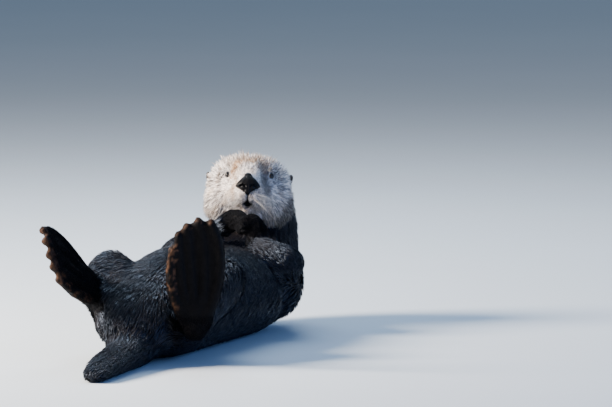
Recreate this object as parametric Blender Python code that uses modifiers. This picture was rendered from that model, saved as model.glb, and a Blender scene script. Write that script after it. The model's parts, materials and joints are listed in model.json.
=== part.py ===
"""Life-size museum model of an adult sea otter resting on its back.

Row frame: +Z up, floor at z = 0 under the back, tail toward -Y, head toward +Y.
The belly is up, so the animal's left side is +X and its right side is -X.
The hind feet are raised, the forepaws are held together on the chest, and the head is
lifted off the shoulders to look out over the left hind foot.

The flesh is modelled whole, as lofts and ellipsoids merged into one closed form, and is
then parted with thin cuts into the pieces that a person would name.
"""

import math

import bmesh
import bpy
from mathutils import Matrix, Vector

# ---- driving dimensions (metres, degrees) ------------------------------------------------

GAP = 0.0003                 # width of every flat parting cut
ROUND_GAP = 0.0004           # width of a parting cut along a rounded surface
POCKET_GAP = 0.0006          # how much larger than the eyes, ears and nose their pockets are

HEAD_CENTRE = Vector((-0.003, 0.279, 0.2555))
HEAD_YAW = 18.0              # the face is turned toward the animal's left
HEAD_PITCH = 6.0             # and looks slightly up
HEAD_ROLL = 2.0
EYE_X = 0.0395               # half the distance between the eyes
EYE_Y = -0.0430
EYE_Z = 0.0290
EYE_RADIUS = 0.0075
NOSE_CENTRE = Vector((-0.002, -0.0815, 0.0145))
NOSE_SLOPE = 0.50            # how far the pad leans forward per metre of drop
NOSE_WIDEST = -0.005         # height of its widest row, from its centre
NOSE_ROWS = [                # height from its centre, half width, half depth
    (0.013, 0.0085, 0.008),
    (0.004, 0.0182, 0.011),
    (-0.005, 0.0242, 0.012),
    (-0.010, 0.0192, 0.010),
    (-0.015, 0.0078, 0.008),
]
EAR_CENTRE = Vector((0.0775, 0.0240, 0.0240))
EAR_HALF_SIZE = (0.0062, 0.0082, 0.0106)
EAR_LEAN = 14.0
SMALL_BALL_SEGMENTS = 12

TRUNK_FORM_VOXEL = 0.0050    # fineness of the merged body before the feet are added
TRUNK_SMOOTHING = 26         # rounds of smoothing, which blend the muscles together
WHOLE_VOXEL = 0.0034         # fineness of the merged animal
WHOLE_SMOOTHING = 4
WHOLE_TRIANGLES = 3600       # the merged animal is thinned to about this many triangles
TUBE_SIDES = 28
HEAD_SIDES = 36
NOSE_SIDES = 12
LOFT_STEPS = 7               # rings between two stations of a loft
PAW_WIDTH_WAY = Vector((0.35, -0.1, 1.0))

LEFT_SPREAD = 0.95           # how far the toes are spread, as a share of the plain foot
RIGHT_SPREAD = 1.08
FOOT_CUP = 2.2               # rise of the sole's edges per square metre across
TOE_CURL = 0.010             # rise of the toe tips toward the sole
TOE_SHARES = (0.0, 0.25, 0.5, 0.75, 0.96)
TOE_SIDES = 14
TOE_HALF_WIDTH = 0.0125      # at the root
TOE_WIDTH_LOSS = 0.0030      # less at the tip
TOE_HALF_HEIGHT = 0.0115
TOE_HEIGHT_LOSS = 0.0025
TOE_TIP_SHARE = 0.985
TOE_TIP_RISE = 0.0015
TOE_TIP_HALF_SIZE = (0.0095, 0.0105, 0.0085)
WEB_STEPS = 10
WEB_REACH = 0.97             # the web ends this far along the toes
WEB_HALF_THICKNESS = 0.0068
CLAW_SIDES = 6
CLAW_LENGTH = 0.0095
CLAW_RADIUS = 0.0023
CLAW_POINT_RADIUS = 0.0009
CLAW_REACH = 0.0030          # the claw's middle lies this far past the toe's end
CLAW_DROP = 0.002
CLAW_RISE = 0.25             # slope of the claw toward the sole
CLAW_BACK_SHARE = 0.9        # the claw follows the toe from here to its end
FLOOR_BLOCK = Vector((2.0, 3.0, 1.0))    # cuts the underside flat at floor level
SHARP_ANGLE = 40.0
LOOK_ROUGHNESS = 0.6

WHITE_FUR = (0.72, 0.66, 0.56)
DARK_FUR = (0.070, 0.048, 0.036)
BARE_SKIN = (0.020, 0.016, 0.015)
EYE_BROWN = (0.018, 0.010, 0.007)


# ---- small helpers -----------------------------------------------------------------------

def clear_scene():
    """Remove every object, so that only this model is left."""
    for item in list(bpy.data.objects):
        bpy.data.objects.remove(item, do_unlink=True)


def collection(name):
    """Make a collection in the scene."""
    made = bpy.data.collections.new(name)
    bpy.context.scene.collection.children.link(made)
    return made


def material(name, colour, roughness):
    """Make a plain Principled material."""
    made = bpy.data.materials.new(name)
    made.use_nodes = True
    shader = made.node_tree.nodes["Principled BSDF"]
    shader.inputs["Base Color"].default_value = (*colour, 1.0)
    shader.inputs["Roughness"].default_value = roughness
    shader.inputs["Metallic"].default_value = 0.0
    return made


def mesh_object(name, form, home):
    """Turn a bmesh into an object in a collection."""
    data = bpy.data.meshes.new(name)
    bmesh.ops.recalc_face_normals(form, faces=form.faces)
    form.to_mesh(data)
    form.free()
    made = bpy.data.objects.new(name, data)
    home.objects.link(made)
    return made


def smooth_curve(points, steps):
    """Catmull-Rom curve through rows of numbers, ends included."""
    rows = [points[0]] + list(points) + [points[-1]]
    curve = []
    for index in range(1, len(rows) - 2):
        before, start, end, after = rows[index - 1:index + 3]
        for step in range(steps):
            t = step / steps
            curve.append([
                0.5 * (2 * b + (c - a) * t + (2 * a - 5 * b + 4 * c - d) * t ** 2
                       + (3 * b - a - 3 * c + d) * t ** 3)
                for a, b, c, d in zip(before, start, end, after)
            ])
    curve.append(list(points[-1]))
    return curve


def loft(form, stations, side=Vector((1, 0, 0)), grow=0.0, square=2.0, sides=TUBE_SIDES,
         steps=LOFT_STEPS):
    """Add a closed tube with rounded ends to a bmesh.

    A station is (x, y, z, half width, half height); the width runs along `side`, the
    height is square to it and to the run of the tube. `grow` fattens the tube all over,
    and `square` is the superellipse power of its section.
    """
    rows = smooth_curve(stations, steps)
    centres = [Vector(row[:3]) for row in rows]
    cap = steps + 1
    placed = []
    for index, row in enumerate(rows):
        tangent = (centres[min(index + 1, len(rows) - 1)] - centres[max(index - 1, 0)]).normalized()
        placed.append((centres[index], tangent, row[3] + grow, row[4] + grow))
    start_centre, start_way, start_width, start_height = placed[0]
    end_centre, end_way, end_width, end_height = placed[-1]
    full = []
    for step in range(cap):
        angle = math.pi / 2 * (1 - (step + 0.35) / cap)
        back = min(start_width, start_height) * math.sin(angle)
        full.append((start_centre - start_way * back, start_way,
                     start_width * math.cos(angle), start_height * math.cos(angle)))
    full.extend(placed)
    for step in reversed(range(cap)):
        angle = math.pi / 2 * (1 - (step + 0.35) / cap)
        ahead = min(end_width, end_height) * math.sin(angle)
        full.append((end_centre + end_way * ahead, end_way,
                     end_width * math.cos(angle), end_height * math.cos(angle)))
    rings = []
    for centre, way, half_width, half_height in full:
        across = (side - way * side.dot(way)).normalized()
        up = way.cross(across)
        ring = []
        for step in range(sides):
            angle = 2 * math.pi * step / sides
            c, s = math.cos(angle), math.sin(angle)
            wide = math.copysign(abs(c) ** (2 / square), c) * half_width
            high = math.copysign(abs(s) ** (2 / square), s) * half_height
            ring.append(form.verts.new(centre + across * wide + up * high))
        rings.append(ring)
    for low, high in zip(rings, rings[1:]):
        for step in range(sides):
            after = (step + 1) % sides
            form.faces.new((low[step], low[after], high[after], high[step]))
    form.faces.new(list(reversed(rings[0])))
    form.faces.new(rings[-1])


def ball(form, centre, radii, turn=None, segments=24):
    """Add an ellipsoid to a bmesh."""
    place = Matrix.Translation(Vector(centre))
    if turn is not None:
        place = place @ turn
    place = place @ Matrix.Diagonal((*radii, 1.0))
    bmesh.ops.create_uvsphere(
        form, u_segments=segments, v_segments=segments // 2, radius=1.0, matrix=place)


def turned(form_function, matrix, form, *args, **kwargs):
    """Run a shape function into a bmesh and then move what it made by a matrix."""
    made = bmesh.new()
    form_function(made, *args, **kwargs)
    bmesh.ops.transform(made, matrix=matrix, verts=made.verts)
    data = bpy.data.meshes.new("moved")
    made.to_mesh(data)
    made.free()
    form.from_mesh(data)
    bpy.data.meshes.remove(data)


def applied(item, modifier_type, **settings):
    """Apply one modifier to an object's mesh."""
    modifier = item.modifiers.new(modifier_type.lower(), modifier_type)
    for key, value in settings.items():
        setattr(modifier, key, value)
    graph = bpy.context.evaluated_depsgraph_get()
    graph.update()
    data = bpy.data.meshes.new_from_object(item.evaluated_get(graph))
    item.modifiers.clear()
    old = item.data
    item.data = data
    bpy.data.meshes.remove(old)
    return item


def boolean(item, other, operation):
    """Apply an exact Boolean with another object."""
    return applied(item, "BOOLEAN", object=other, operation=operation, solver="EXACT")


def copy_of(item, name, home):
    """Copy an object together with its mesh."""
    made = bpy.data.objects.new(name, item.data.copy())
    made.matrix_world = item.matrix_world
    home.objects.link(made)
    return made


# ---- poses of the head and the hind feet -------------------------------------------------

def head_matrix():
    """Head frame: the face looks along local -Y, the crown is local +Z."""
    yaw = Matrix.Rotation(math.radians(HEAD_YAW), 4, "Z")
    pitch = Matrix.Rotation(math.radians(-HEAD_PITCH), 4, "X")
    roll = Matrix.Rotation(math.radians(HEAD_ROLL), 4, "Y")
    return Matrix.Translation(HEAD_CENTRE) @ yaw @ pitch @ roll


def foot_matrix(heel, toes, sole):
    """Foot frame: +Y runs from heel to toes and +Z comes out of the sole."""
    along = toes.normalized()
    out = (sole - along * sole.dot(along)).normalized()
    across = along.cross(out)
    basis = Matrix((across, along, out)).transposed().to_4x4()
    return Matrix.Translation(heel) @ basis


LEFT_FOOT = foot_matrix(
    heel=Vector((0.110, -0.383, 0.062)),
    toes=Vector((0.03, -0.02, 1.0)),
    sole=Vector((0.309, -0.951, 0.06)),
)
RIGHT_FOOT = foot_matrix(
    heel=Vector((-0.1026, -0.322, 0.1176)),
    toes=Vector((-0.158, -0.806, 0.571)),
    sole=Vector((-0.920, -0.075, -0.384)),
)


# ---- flesh -------------------------------------------------------------------------------

TRUNK_STATIONS = [
    (0.0, -0.440, 0.038, 0.046, 0.036),
    (0.0, -0.370, 0.066, 0.078, 0.064),
    (0.0, -0.270, 0.081, 0.100, 0.086),
    (0.0, -0.120, 0.093, 0.116, 0.099),
    (0.0, 0.030, 0.088, 0.122, 0.095),
    (0.0, 0.140, 0.080, 0.120, 0.087),
    (0.0, 0.235, 0.094, 0.106, 0.088),
]
NECK_STATIONS = [
    (0.0, 0.180, 0.086, 0.096, 0.080),
    (0.0, 0.280, 0.118, 0.092, 0.080),
    (-0.004, 0.335, 0.175, 0.080, 0.070),
    (-0.006, 0.330, 0.235, 0.072, 0.058),
]
TAIL_STATIONS = [
    (0.0, -0.400, 0.040, 0.052, 0.042),
    (0.004, -0.480, 0.026, 0.043, 0.031),
    (0.010, -0.600, 0.019, 0.037, 0.024),
    (0.020, -0.690, 0.013, 0.027, 0.018),
]
HEAD_STATIONS = [
    (0.0, -0.060, -0.004, 0.034, 0.034),
    (0.0, -0.042, -0.004, 0.056, 0.050),
    (0.0, -0.018, 0.000, 0.071, 0.059),
    (0.0, 0.012, 0.002, 0.083, 0.063),
    (0.0, 0.040, 0.000, 0.082, 0.062),
]


# Rounded masses added to the lofts: centre and half sizes. The paired ones stand on both sides.
SHOULDER = ((0.080, 0.185, 0.092), (0.056, 0.070, 0.072))
HAUNCH = ((0.058, -0.300, 0.078), (0.056, 0.080, 0.066))
WHISKER_PAD = ((0.023, -0.059, -0.011), (0.027, 0.023, 0.023))
CHEEK = ((0.050, -0.006, -0.020), (0.036, 0.048, 0.040))
EYE_SOCKET = ((0.036, -0.026, 0.026), (0.030, 0.026, 0.026))
CHIN = ((0.0, -0.042, -0.036), (0.032, 0.028, 0.026))
BRIDGE = ((0.0, -0.046, 0.014), (0.032, 0.036, 0.030))
CROWN = ((0.0, -0.004, 0.032), (0.060, 0.056, 0.034))
FOOT_PALM = ((0.0, 0.040, -0.004), (0.030, 0.048, 0.017))
HEEL = ((0.0, 0.006, -0.006), (0.024, 0.026, 0.024))
TRUNK_SQUARENESS = 2.25
NECK_SQUARENESS = 2.2
TAIL_SQUARENESS = 2.3
HEAD_SQUARENESS = 2.3


def trunk_form(form):
    """Barrel of the chest, belly and pelvis, with the shoulders and haunches."""
    loft(form, TRUNK_STATIONS, square=TRUNK_SQUARENESS)
    paired(form, SHOULDER, HAUNCH)


def paired(form, *masses):
    """Add rounded masses on both sides of the middle plane."""
    for side in (-1, 1):
        for (x, y, z), half_size in masses:
            ball(form, (side * x, y, z), half_size)


def neck_form(form):
    """Thick neck that curls up from the shoulders to the back of the head."""
    loft(form, NECK_STATIONS, square=NECK_SQUARENESS)


def tail_form(form):
    """Short flattened tail, laid on the floor."""
    loft(form, TAIL_STATIONS, square=TAIL_SQUARENESS)


def head_form(form):
    """Wide flat-crowned head with full cheeks and whisker pads, in the head frame."""
    loft(form, HEAD_STATIONS, square=HEAD_SQUARENESS, sides=HEAD_SIDES)
    paired(form, WHISKER_PAD, CHEEK, EYE_SOCKET)
    for mass in (CHIN, BRIDGE, CROWN):
        ball(form, *mass)


def foreleg_stations(side):
    """Shoulder, elbow and wrist of one foreleg."""
    if side > 0:
        return [
            (0.085, 0.190, 0.112, 0.044, 0.044),
            (0.117, 0.158, 0.132, 0.032, 0.032),
            (0.116, 0.130, 0.146, 0.028, 0.028),
            (0.088, 0.124, 0.160, 0.024, 0.024),
            (0.062, 0.132, 0.172, 0.019, 0.020),
        ]
    return [
        (-0.085, 0.190, 0.112, 0.044, 0.044),
        (-0.112, 0.158, 0.128, 0.032, 0.032),
        (-0.102, 0.138, 0.150, 0.028, 0.028),
        (-0.058, 0.142, 0.178, 0.023, 0.023),
        (-0.014, 0.148, 0.199, 0.019, 0.020),
    ]


def forepaw_stations(side):
    """Wrist, knuckles and toe ends of one mitten-like forepaw."""
    if side > 0:
        return [
            (0.060, 0.131, 0.174, 0.020, 0.016),
            (0.063, 0.126, 0.196, 0.022, 0.014),
            (0.054, 0.120, 0.212, 0.021, 0.012),
            (0.042, 0.114, 0.206, 0.019, 0.010),
        ]
    return [
        (-0.012, 0.147, 0.199, 0.020, 0.015),
        (0.008, 0.143, 0.2135, 0.022, 0.014),
        (0.028, 0.134, 0.2135, 0.021, 0.012),
        (0.034, 0.126, 0.199, 0.019, 0.010),
    ]


def hindleg_stations(side):
    """Hip, knee and ankle of one hind leg."""
    if side > 0:
        return [
            (0.045, -0.315, 0.080, 0.064, 0.062),
            (0.092, -0.245, 0.122, 0.060, 0.054),
            (0.108, -0.212, 0.142, 0.048, 0.046),
            (0.109, -0.290, 0.116, 0.044, 0.042),
            (0.110, -0.357, 0.086, 0.032, 0.032),
        ]
    return [
        (-0.045, -0.315, 0.080, 0.064, 0.062),
        (-0.094, -0.240, 0.125, 0.060, 0.054),
        (-0.112, -0.200, 0.146, 0.048, 0.046),
        (-0.112, -0.262, 0.136, 0.042, 0.042),
        (-0.110, -0.320, 0.124, 0.032, 0.032),
    ]


def foot_rays(spread):
    """Start, bend and tip of the five toes, first to fifth, in the foot frame."""
    rays = [
        ((-0.016, 0.016), (-0.062, 0.080), (-0.046, 0.156)),
        ((-0.008, 0.014), (-0.034, 0.100), (-0.036, 0.184)),
        ((0.000, 0.012), (-0.009, 0.112), (-0.020, 0.200)),
        ((0.008, 0.014), (0.028, 0.124), (0.002, 0.211)),
        ((0.016, 0.016), (0.074, 0.130), (0.026, 0.208)),
    ]
    return [[(x * spread, y) for x, y in ray] for ray in rays]


def ray_point(ray, t):
    """Point on a toe's curved line; the foot is cupped toward its sole."""
    start, bend, tip = ray
    x = (1 - t) ** 2 * start[0] + 2 * t * (1 - t) * bend[0] + t ** 2 * tip[0]
    y = (1 - t) ** 2 * start[1] + 2 * t * (1 - t) * bend[1] + t ** 2 * tip[1]
    return Vector((x, y, FOOT_CUP * x ** 2 + TOE_CURL * t ** 3))


def hindfoot_form(form, side, spread):
    """Broad webbed hind foot with the fifth toe longest, in the foot frame."""
    rays = foot_rays(spread)
    for ray in rays:
        stations = []
        for t in TOE_SHARES:
            point = ray_point(ray, t)
            stations.append((side * point.x, point.y, point.z,
                             TOE_HALF_WIDTH - TOE_WIDTH_LOSS * t,
                             TOE_HALF_HEIGHT - TOE_HEIGHT_LOSS * t))
        loft(form, stations, sides=TOE_SIDES)
        tip = ray_point(ray, TOE_TIP_SHARE)
        ball(form, (side * tip.x, tip.y, tip.z + TOE_TIP_RISE), TOE_TIP_HALF_SIZE)
    rows = []
    for step in range(WEB_STEPS + 1):
        t = WEB_REACH * step / WEB_STEPS
        rows.append([ray_point(ray, t) for ray in rays])
    half = WEB_HALF_THICKNESS
    lower = [[form.verts.new((side * p.x, p.y, p.z - half)) for p in row] for row in rows]
    upper = [[form.verts.new((side * p.x, p.y, p.z + half)) for p in row] for row in rows]
    last = len(rays) - 1
    for low_row, low_next, up_row, up_next in zip(lower, lower[1:], upper, upper[1:]):
        for column in range(last):
            form.faces.new((low_row[column], low_next[column],
                            low_next[column + 1], low_row[column + 1]))
            form.faces.new((up_row[column], up_row[column + 1],
                            up_next[column + 1], up_next[column]))
        form.faces.new((low_row[0], up_row[0], up_next[0], low_next[0]))
        form.faces.new((low_row[last], low_next[last], up_next[last], up_row[last]))
    for column in range(last):
        form.faces.new((lower[0][column], lower[0][column + 1],
                        upper[0][column + 1], upper[0][column]))
        form.faces.new((lower[-1][column], upper[-1][column],
                        upper[-1][column + 1], lower[-1][column + 1]))
    palm, (half_width, *rest) = FOOT_PALM
    ball(form, palm, (half_width * spread, *rest))
    ball(form, *HEEL)


def merged(forms, name, home, voxel, smoothing):
    """Merge several closed shapes into one smooth closed skin."""
    item = mesh_object(name, forms, home)
    applied(item, "REMESH", mode="VOXEL", voxel_size=voxel, adaptivity=0.0)
    if smoothing:
        applied(item, "SMOOTH", factor=0.5, iterations=smoothing)
    return item


def whole_animal(home):
    """The whole flesh as one closed form, pressed flat where it meets the floor."""
    body = bmesh.new()
    trunk_form(body)
    neck_form(body)
    tail_form(body)
    turned(head_form, head_matrix(), body)
    for side in (-1, 1):
        loft(body, hindleg_stations(side))
    soft = merged(body, "soft_form", home, TRUNK_FORM_VOXEL, TRUNK_SMOOTHING)

    limbs = bmesh.new()
    for side in (-1, 1):
        loft(limbs, foreleg_stations(side))
        loft(limbs, forepaw_stations(side), side=PAW_WIDTH_WAY)
    turned(hindfoot_form, LEFT_FOOT, limbs, 1, LEFT_SPREAD)
    turned(hindfoot_form, RIGHT_FOOT, limbs, -1, RIGHT_SPREAD)
    limbs.from_mesh(soft.data)
    bpy.data.objects.remove(soft, do_unlink=True)
    whole = merged(limbs, "whole", home, WHOLE_VOXEL, WHOLE_SMOOTHING)
    triangles = sum(len(face.vertices) - 2 for face in whole.data.polygons)
    applied(whole, "DECIMATE", ratio=WHOLE_TRIANGLES / triangles)
    floor = bmesh.new()
    size = Matrix.Diagonal(FLOOR_BLOCK).to_4x4()
    under = Matrix.Translation((0, 0, -FLOOR_BLOCK.z / 2))
    bmesh.ops.create_cube(floor, size=1.0, matrix=under @ size)
    block = mesh_object("floor_block", floor, home)
    boolean(whole, block, "DIFFERENCE")
    bpy.data.objects.remove(block, do_unlink=True)
    return whole


# ---- parting -----------------------------------------------------------------------------

FOOT_REGION = [
    (0.0, -0.010, 0.006, 0.036, 0.030),
    (0.0, 0.050, 0.006, 0.052, 0.030),
    (0.0, 0.130, 0.008, 0.074, 0.034),
    (0.0, 0.200, 0.010, 0.070, 0.036),
]
HEAD_OUTLINE = [(0.10, 0.186), (0.250, 0.192), (0.43, 0.290), (0.43, 0.45), (0.10, 0.45)]
NECK_OUTLINE = [(0.205, 0.30), (0.285, -0.05), (0.50, -0.05), (0.50, 0.45), (0.205, 0.45)]
TAIL_OUTLINE = [(-0.432, -0.05), (-0.432, 0.20), (-0.90, 0.20), (-0.90, -0.05)]
FOOT_SQUARENESS = 5.0
PRISM_HALF_WIDTH = 0.30
REGION_VOXEL = 0.006         # a limb's region is one smooth closed form of few faces
REGION_SMOOTHING = 12
REGION_TRIANGLES = 130
PAW_MARGIN = 0.006           # how much wider than the limb each region is
FORELEG_MARGIN = 0.007
HINDLEG_MARGIN = 0.005


def prism(form, outline, shift):
    """Add a block that spans the body from side to side, with its outline in Y and Z."""
    corners = []
    for x in (-PRISM_HALF_WIDTH, PRISM_HALF_WIDTH):
        corners.append([form.verts.new((x, y + shift[0], z + shift[1])) for y, z in outline])
    left, right = corners
    form.faces.new(left)
    form.faces.new(list(reversed(right)))
    for index in range(len(outline)):
        after = (index + 1) % len(outline)
        form.faces.new((left[after], left[index], right[index], right[after]))
    bmesh.ops.recalc_face_normals(form, faces=form.faces)


def largest_body(item):
    """Keep only the largest connected body of an object."""
    form = bmesh.new()
    form.from_mesh(item.data)
    left = set(form.verts)
    bodies = []
    while left:
        body = {left.pop()}
        edge_of_body = list(body)
        while edge_of_body:
            vert = edge_of_body.pop()
            for edge in vert.link_edges:
                other = edge.other_vert(vert)
                if other in left:
                    left.discard(other)
                    body.add(other)
                    edge_of_body.append(other)
        bodies.append(body)
    bodies.sort(key=len)
    spare = [vert for body in bodies[:-1] for vert in body]
    bmesh.ops.delete(form, geom=spare, context="VERTS")
    form.to_mesh(item.data)
    form.free()


def take_out(whole, name, home, region, cutter):
    """Part the flesh inside a region from the whole; the cutter is larger by the gap."""
    part = copy_of(whole, name, home)
    boolean(part, region, "INTERSECT")
    boolean(whole, cutter, "DIFFERENCE")
    for used in (region, cutter):
        bpy.data.objects.remove(used, do_unlink=True)
    largest_body(part)
    return part


def part_round(whole, name, home, stations, grow, matrix=Matrix.Identity(4), **settings):
    """Part a limb from the whole along a smooth tube that is wider than the limb."""
    form = bmesh.new()
    turned(loft, matrix, form, stations, grow=grow, **settings)
    region = merged(form, f"{name}_region", home, REGION_VOXEL, REGION_SMOOTHING)
    triangles = 2 * len(region.data.polygons)
    applied(region, "DECIMATE", ratio=REGION_TRIANGLES / triangles)
    cutter = copy_of(region, f"{name}_cutter", home)
    applied(cutter, "DISPLACE", strength=ROUND_GAP, mid_level=0.0, direction="NORMAL")
    return take_out(whole, name, home, region, cutter)


def part_flat(whole, name, home, outline, shift):
    """Part the whole along flat cuts that run from side to side."""
    blocks = []
    for role, moved in (("region", (0.0, 0.0)), ("cutter", shift)):
        form = bmesh.new()
        prism(form, outline, moved)
        blocks.append(mesh_object(f"{name}_{role}", form, home))
    return take_out(whole, name, home, *blocks)


def nose_form(form, grow=0.0):
    """Broad rounded triangular nose pad, in the head frame."""
    stations = [
        (NOSE_CENTRE.x, NOSE_CENTRE.y + NOSE_SLOPE * (z - NOSE_WIDEST), NOSE_CENTRE.z + z,
         width, depth)
        for z, width, depth in NOSE_ROWS
    ]
    loft(form, stations, grow=grow, sides=NOSE_SIDES, steps=2)


def ear_form(form, side, grow=0.0):
    """Small thick ear, rolled forward and set low on the side of the head."""
    centre = Vector((side * EAR_CENTRE.x, EAR_CENTRE.y, EAR_CENTRE.z))
    lean = Matrix.Rotation(math.radians(side * EAR_LEAN), 4, "Y")
    half = [size + grow for size in EAR_HALF_SIZE]
    ball(form, centre, half, lean, SMALL_BALL_SEGMENTS)


def fitted(head, name, home, form_function, matrix, *args):
    """Set a small solid into the head, with a pocket a gap larger than it."""
    solid = bmesh.new()
    turned(form_function, matrix, solid, *args)
    pocket = bmesh.new()
    turned(form_function, matrix, pocket, *args, grow=POCKET_GAP)
    cutter = mesh_object(f"{name}_pocket", pocket, home)
    boolean(head, cutter, "DIFFERENCE")
    bpy.data.objects.remove(cutter, do_unlink=True)
    return mesh_object(name, solid, home)


def eye_form(form, side, grow=0.0):
    """Round eyeball, in the head frame."""
    radius = EYE_RADIUS + grow
    ball(form, (side * EYE_X, EYE_Y, EYE_Z), (radius, radius, radius),
         segments=SMALL_BALL_SEGMENTS)


def claws_on(foot, home, matrix, side, spread):
    """Join a short claw to the end of each toe of a hind foot."""
    for number, ray in enumerate(foot_rays(spread)):
        tip = ray_point(ray, 1.0)
        way = (tip - ray_point(ray, CLAW_BACK_SHARE)).normalized()
        claw = bmesh.new()
        middle = Vector((side * (tip.x + way.x * CLAW_REACH), tip.y + way.y * CLAW_REACH,
                         tip.z - CLAW_DROP))
        aim = Vector((side * way.x, way.y, CLAW_RISE)).to_track_quat("Z", "Y")
        aim = aim.to_matrix().to_4x4()
        bmesh.ops.create_cone(
            claw, cap_ends=True, segments=CLAW_SIDES, radius1=CLAW_RADIUS,
            radius2=CLAW_POINT_RADIUS, depth=CLAW_LENGTH,
            matrix=matrix @ Matrix.Translation(middle) @ aim)
        item = mesh_object(f"claw_{number}", claw, home)
        boolean(foot, item, "UNION")
        bpy.data.objects.remove(item, do_unlink=True)


def centre_over_origin(pieces):
    """Slide the whole model so that its bounding box is centred over the origin."""
    corners = [vert.co for piece in pieces for vert in piece.data.vertices]
    low = [min(corner[axis] for corner in corners) for axis in range(2)]
    high = [max(corner[axis] for corner in corners) for axis in range(2)]
    shift = Matrix.Translation((-(low[0] + high[0]) / 2, -(low[1] + high[1]) / 2, 0.0))
    for piece in pieces:
        piece.data.transform(shift)


def main():
    """Build the model."""
    clear_scene()
    home = collection("sea_otter")
    whole = whole_animal(home)
    pieces = {}
    for word, side, matrix, spread in (("left", 1, LEFT_FOOT, LEFT_SPREAD),
                                       ("right", -1, RIGHT_FOOT, RIGHT_SPREAD)):
        name = f"hindfoot_{word}"
        pieces[name] = part_round(whole, name, home, FOOT_REGION, 0.0, matrix,
                                  square=FOOT_SQUARENESS)
        claws_on(pieces[name], home, matrix, side, spread)
    for word, side in (("left", 1), ("right", -1)):
        name = f"forepaw_{word}"
        pieces[name] = part_round(whole, name, home, forepaw_stations(side), PAW_MARGIN,
                                  side=PAW_WIDTH_WAY)
    for word, side in (("left", 1), ("right", -1)):
        name = f"foreleg_{word}"
        pieces[name] = part_round(whole, name, home, foreleg_stations(side),
                                  FORELEG_MARGIN)
        name = f"hindleg_{word}"
        pieces[name] = part_round(whole, name, home, hindleg_stations(side),
                                  HINDLEG_MARGIN)
    pieces["tail"] = part_flat(whole, "tail", home, TAIL_OUTLINE, (GAP, 0.0))
    pieces["head"] = part_flat(whole, "head", home, HEAD_OUTLINE, (GAP / 2, -GAP))
    pieces["neck"] = part_flat(whole, "neck", home, NECK_OUTLINE, (-GAP, 0.0))
    whole.name = "trunk"
    largest_body(whole)
    pieces["trunk"] = whole
    head = pieces["head"]
    face = head_matrix()
    pieces["nose"] = fitted(head, "nose", home, nose_form, face)
    for word, side in (("left", 1), ("right", -1)):
        pieces[f"eye_{word}"] = fitted(head, f"eye_{word}", home, eye_form, face, side)
        pieces[f"ear_{word}"] = fitted(head, f"ear_{word}", home, ear_form, face, side)
    centre_over_origin(list(pieces.values()))
    white = ("head",)
    bare = ("nose", "forepaw_left", "forepaw_right", "hindfoot_left", "hindfoot_right")
    for name, piece in pieces.items():
        colour = WHITE_FUR if name in white else BARE_SKIN if name in bare else DARK_FUR
        colour = EYE_BROWN if name.startswith("eye") else colour
        piece.data.materials.clear()
        piece.data.materials.append(material(f"{name}_look", colour, LOOK_ROUGHNESS))
        piece.data.shade_smooth()
        piece.data.set_sharp_from_angle(angle=math.radians(SHARP_ANGLE))


main()
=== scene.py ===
"""A life-size sea otter, lying on its back: skin, coat, eyes, nose, ears, claws and whiskers."""

import json
import logging
import math
from dataclasses import dataclass, field
from enum import Enum

import bmesh
import bpy
import numpy as np
from mathutils import Matrix, Vector, noise
from mathutils.bvhtree import BVHTree

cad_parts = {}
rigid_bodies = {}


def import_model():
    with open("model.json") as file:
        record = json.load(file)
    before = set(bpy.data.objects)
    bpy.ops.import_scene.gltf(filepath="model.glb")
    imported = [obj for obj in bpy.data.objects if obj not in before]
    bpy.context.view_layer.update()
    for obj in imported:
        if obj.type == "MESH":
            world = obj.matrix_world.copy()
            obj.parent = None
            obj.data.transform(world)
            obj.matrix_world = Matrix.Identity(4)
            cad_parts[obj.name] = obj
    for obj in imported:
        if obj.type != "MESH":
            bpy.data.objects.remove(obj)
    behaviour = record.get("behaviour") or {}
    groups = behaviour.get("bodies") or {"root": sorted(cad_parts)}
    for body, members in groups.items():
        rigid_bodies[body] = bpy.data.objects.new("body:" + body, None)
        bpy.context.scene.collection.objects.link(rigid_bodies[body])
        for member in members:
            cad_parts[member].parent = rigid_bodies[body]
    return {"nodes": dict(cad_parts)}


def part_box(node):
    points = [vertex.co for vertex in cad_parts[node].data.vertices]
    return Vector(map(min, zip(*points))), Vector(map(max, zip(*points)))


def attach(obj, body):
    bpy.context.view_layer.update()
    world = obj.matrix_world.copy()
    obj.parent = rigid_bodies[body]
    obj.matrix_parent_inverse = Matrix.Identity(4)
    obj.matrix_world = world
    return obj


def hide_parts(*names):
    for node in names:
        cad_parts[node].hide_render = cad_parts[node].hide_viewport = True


log = logging.getLogger("sea_otter")
Colour = tuple[float, float, float]
Array = np.ndarray
Line = list[tuple[float, ...]]
Piece = bpy.types.Object
Socket = bpy.types.NodeSocket
Value = float | int | str | tuple | Socket | bpy.types.ID
# Without a seed of its own, noise_vector takes one from the clock.
NOISE_SEED = 3
SIDES = ((1, "left"), (-1, "right"))
# Front of the nose along Y, and middle of the face along X, in the head's frame.
NOSE_FRONT = -0.088
MID_X = -0.002
# Lowest place of any lock over the floor.
FLOOR_GAP = 0.0006


# ---------------------------------------------------------------- small helpers

def smooth_step(low: float, high: float, value: Array) -> Array:
    """Ease from 0 to 1.

    Args:
        low: Value where the step starts.
        high: Value where the step ends.
        value: Numbers to ease.

    Returns:
        The eased numbers.
    """
    t = np.clip((value - low) / (high - low), 0.0, 1.0)
    return t * t * (3.0 - 2.0 * t)


def mixed(first: Array, second: Array, share: Array) -> Array:
    """Blend two arrays, or colours, by one share per row.

    Args:
        first: Values where the share is 0.
        second: Values where the share is 1.
        share: One number per row, from 0 to 1.

    Returns:
        The blended rows.
    """
    first, second, weight = np.asarray(first), np.asarray(second), np.asarray(share)
    if first.shape[-1:] == (3,) or first.ndim > 1 or second.ndim > 1:
        weight = weight[:, None]
    return first * (1.0 - weight) + second * weight


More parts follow.
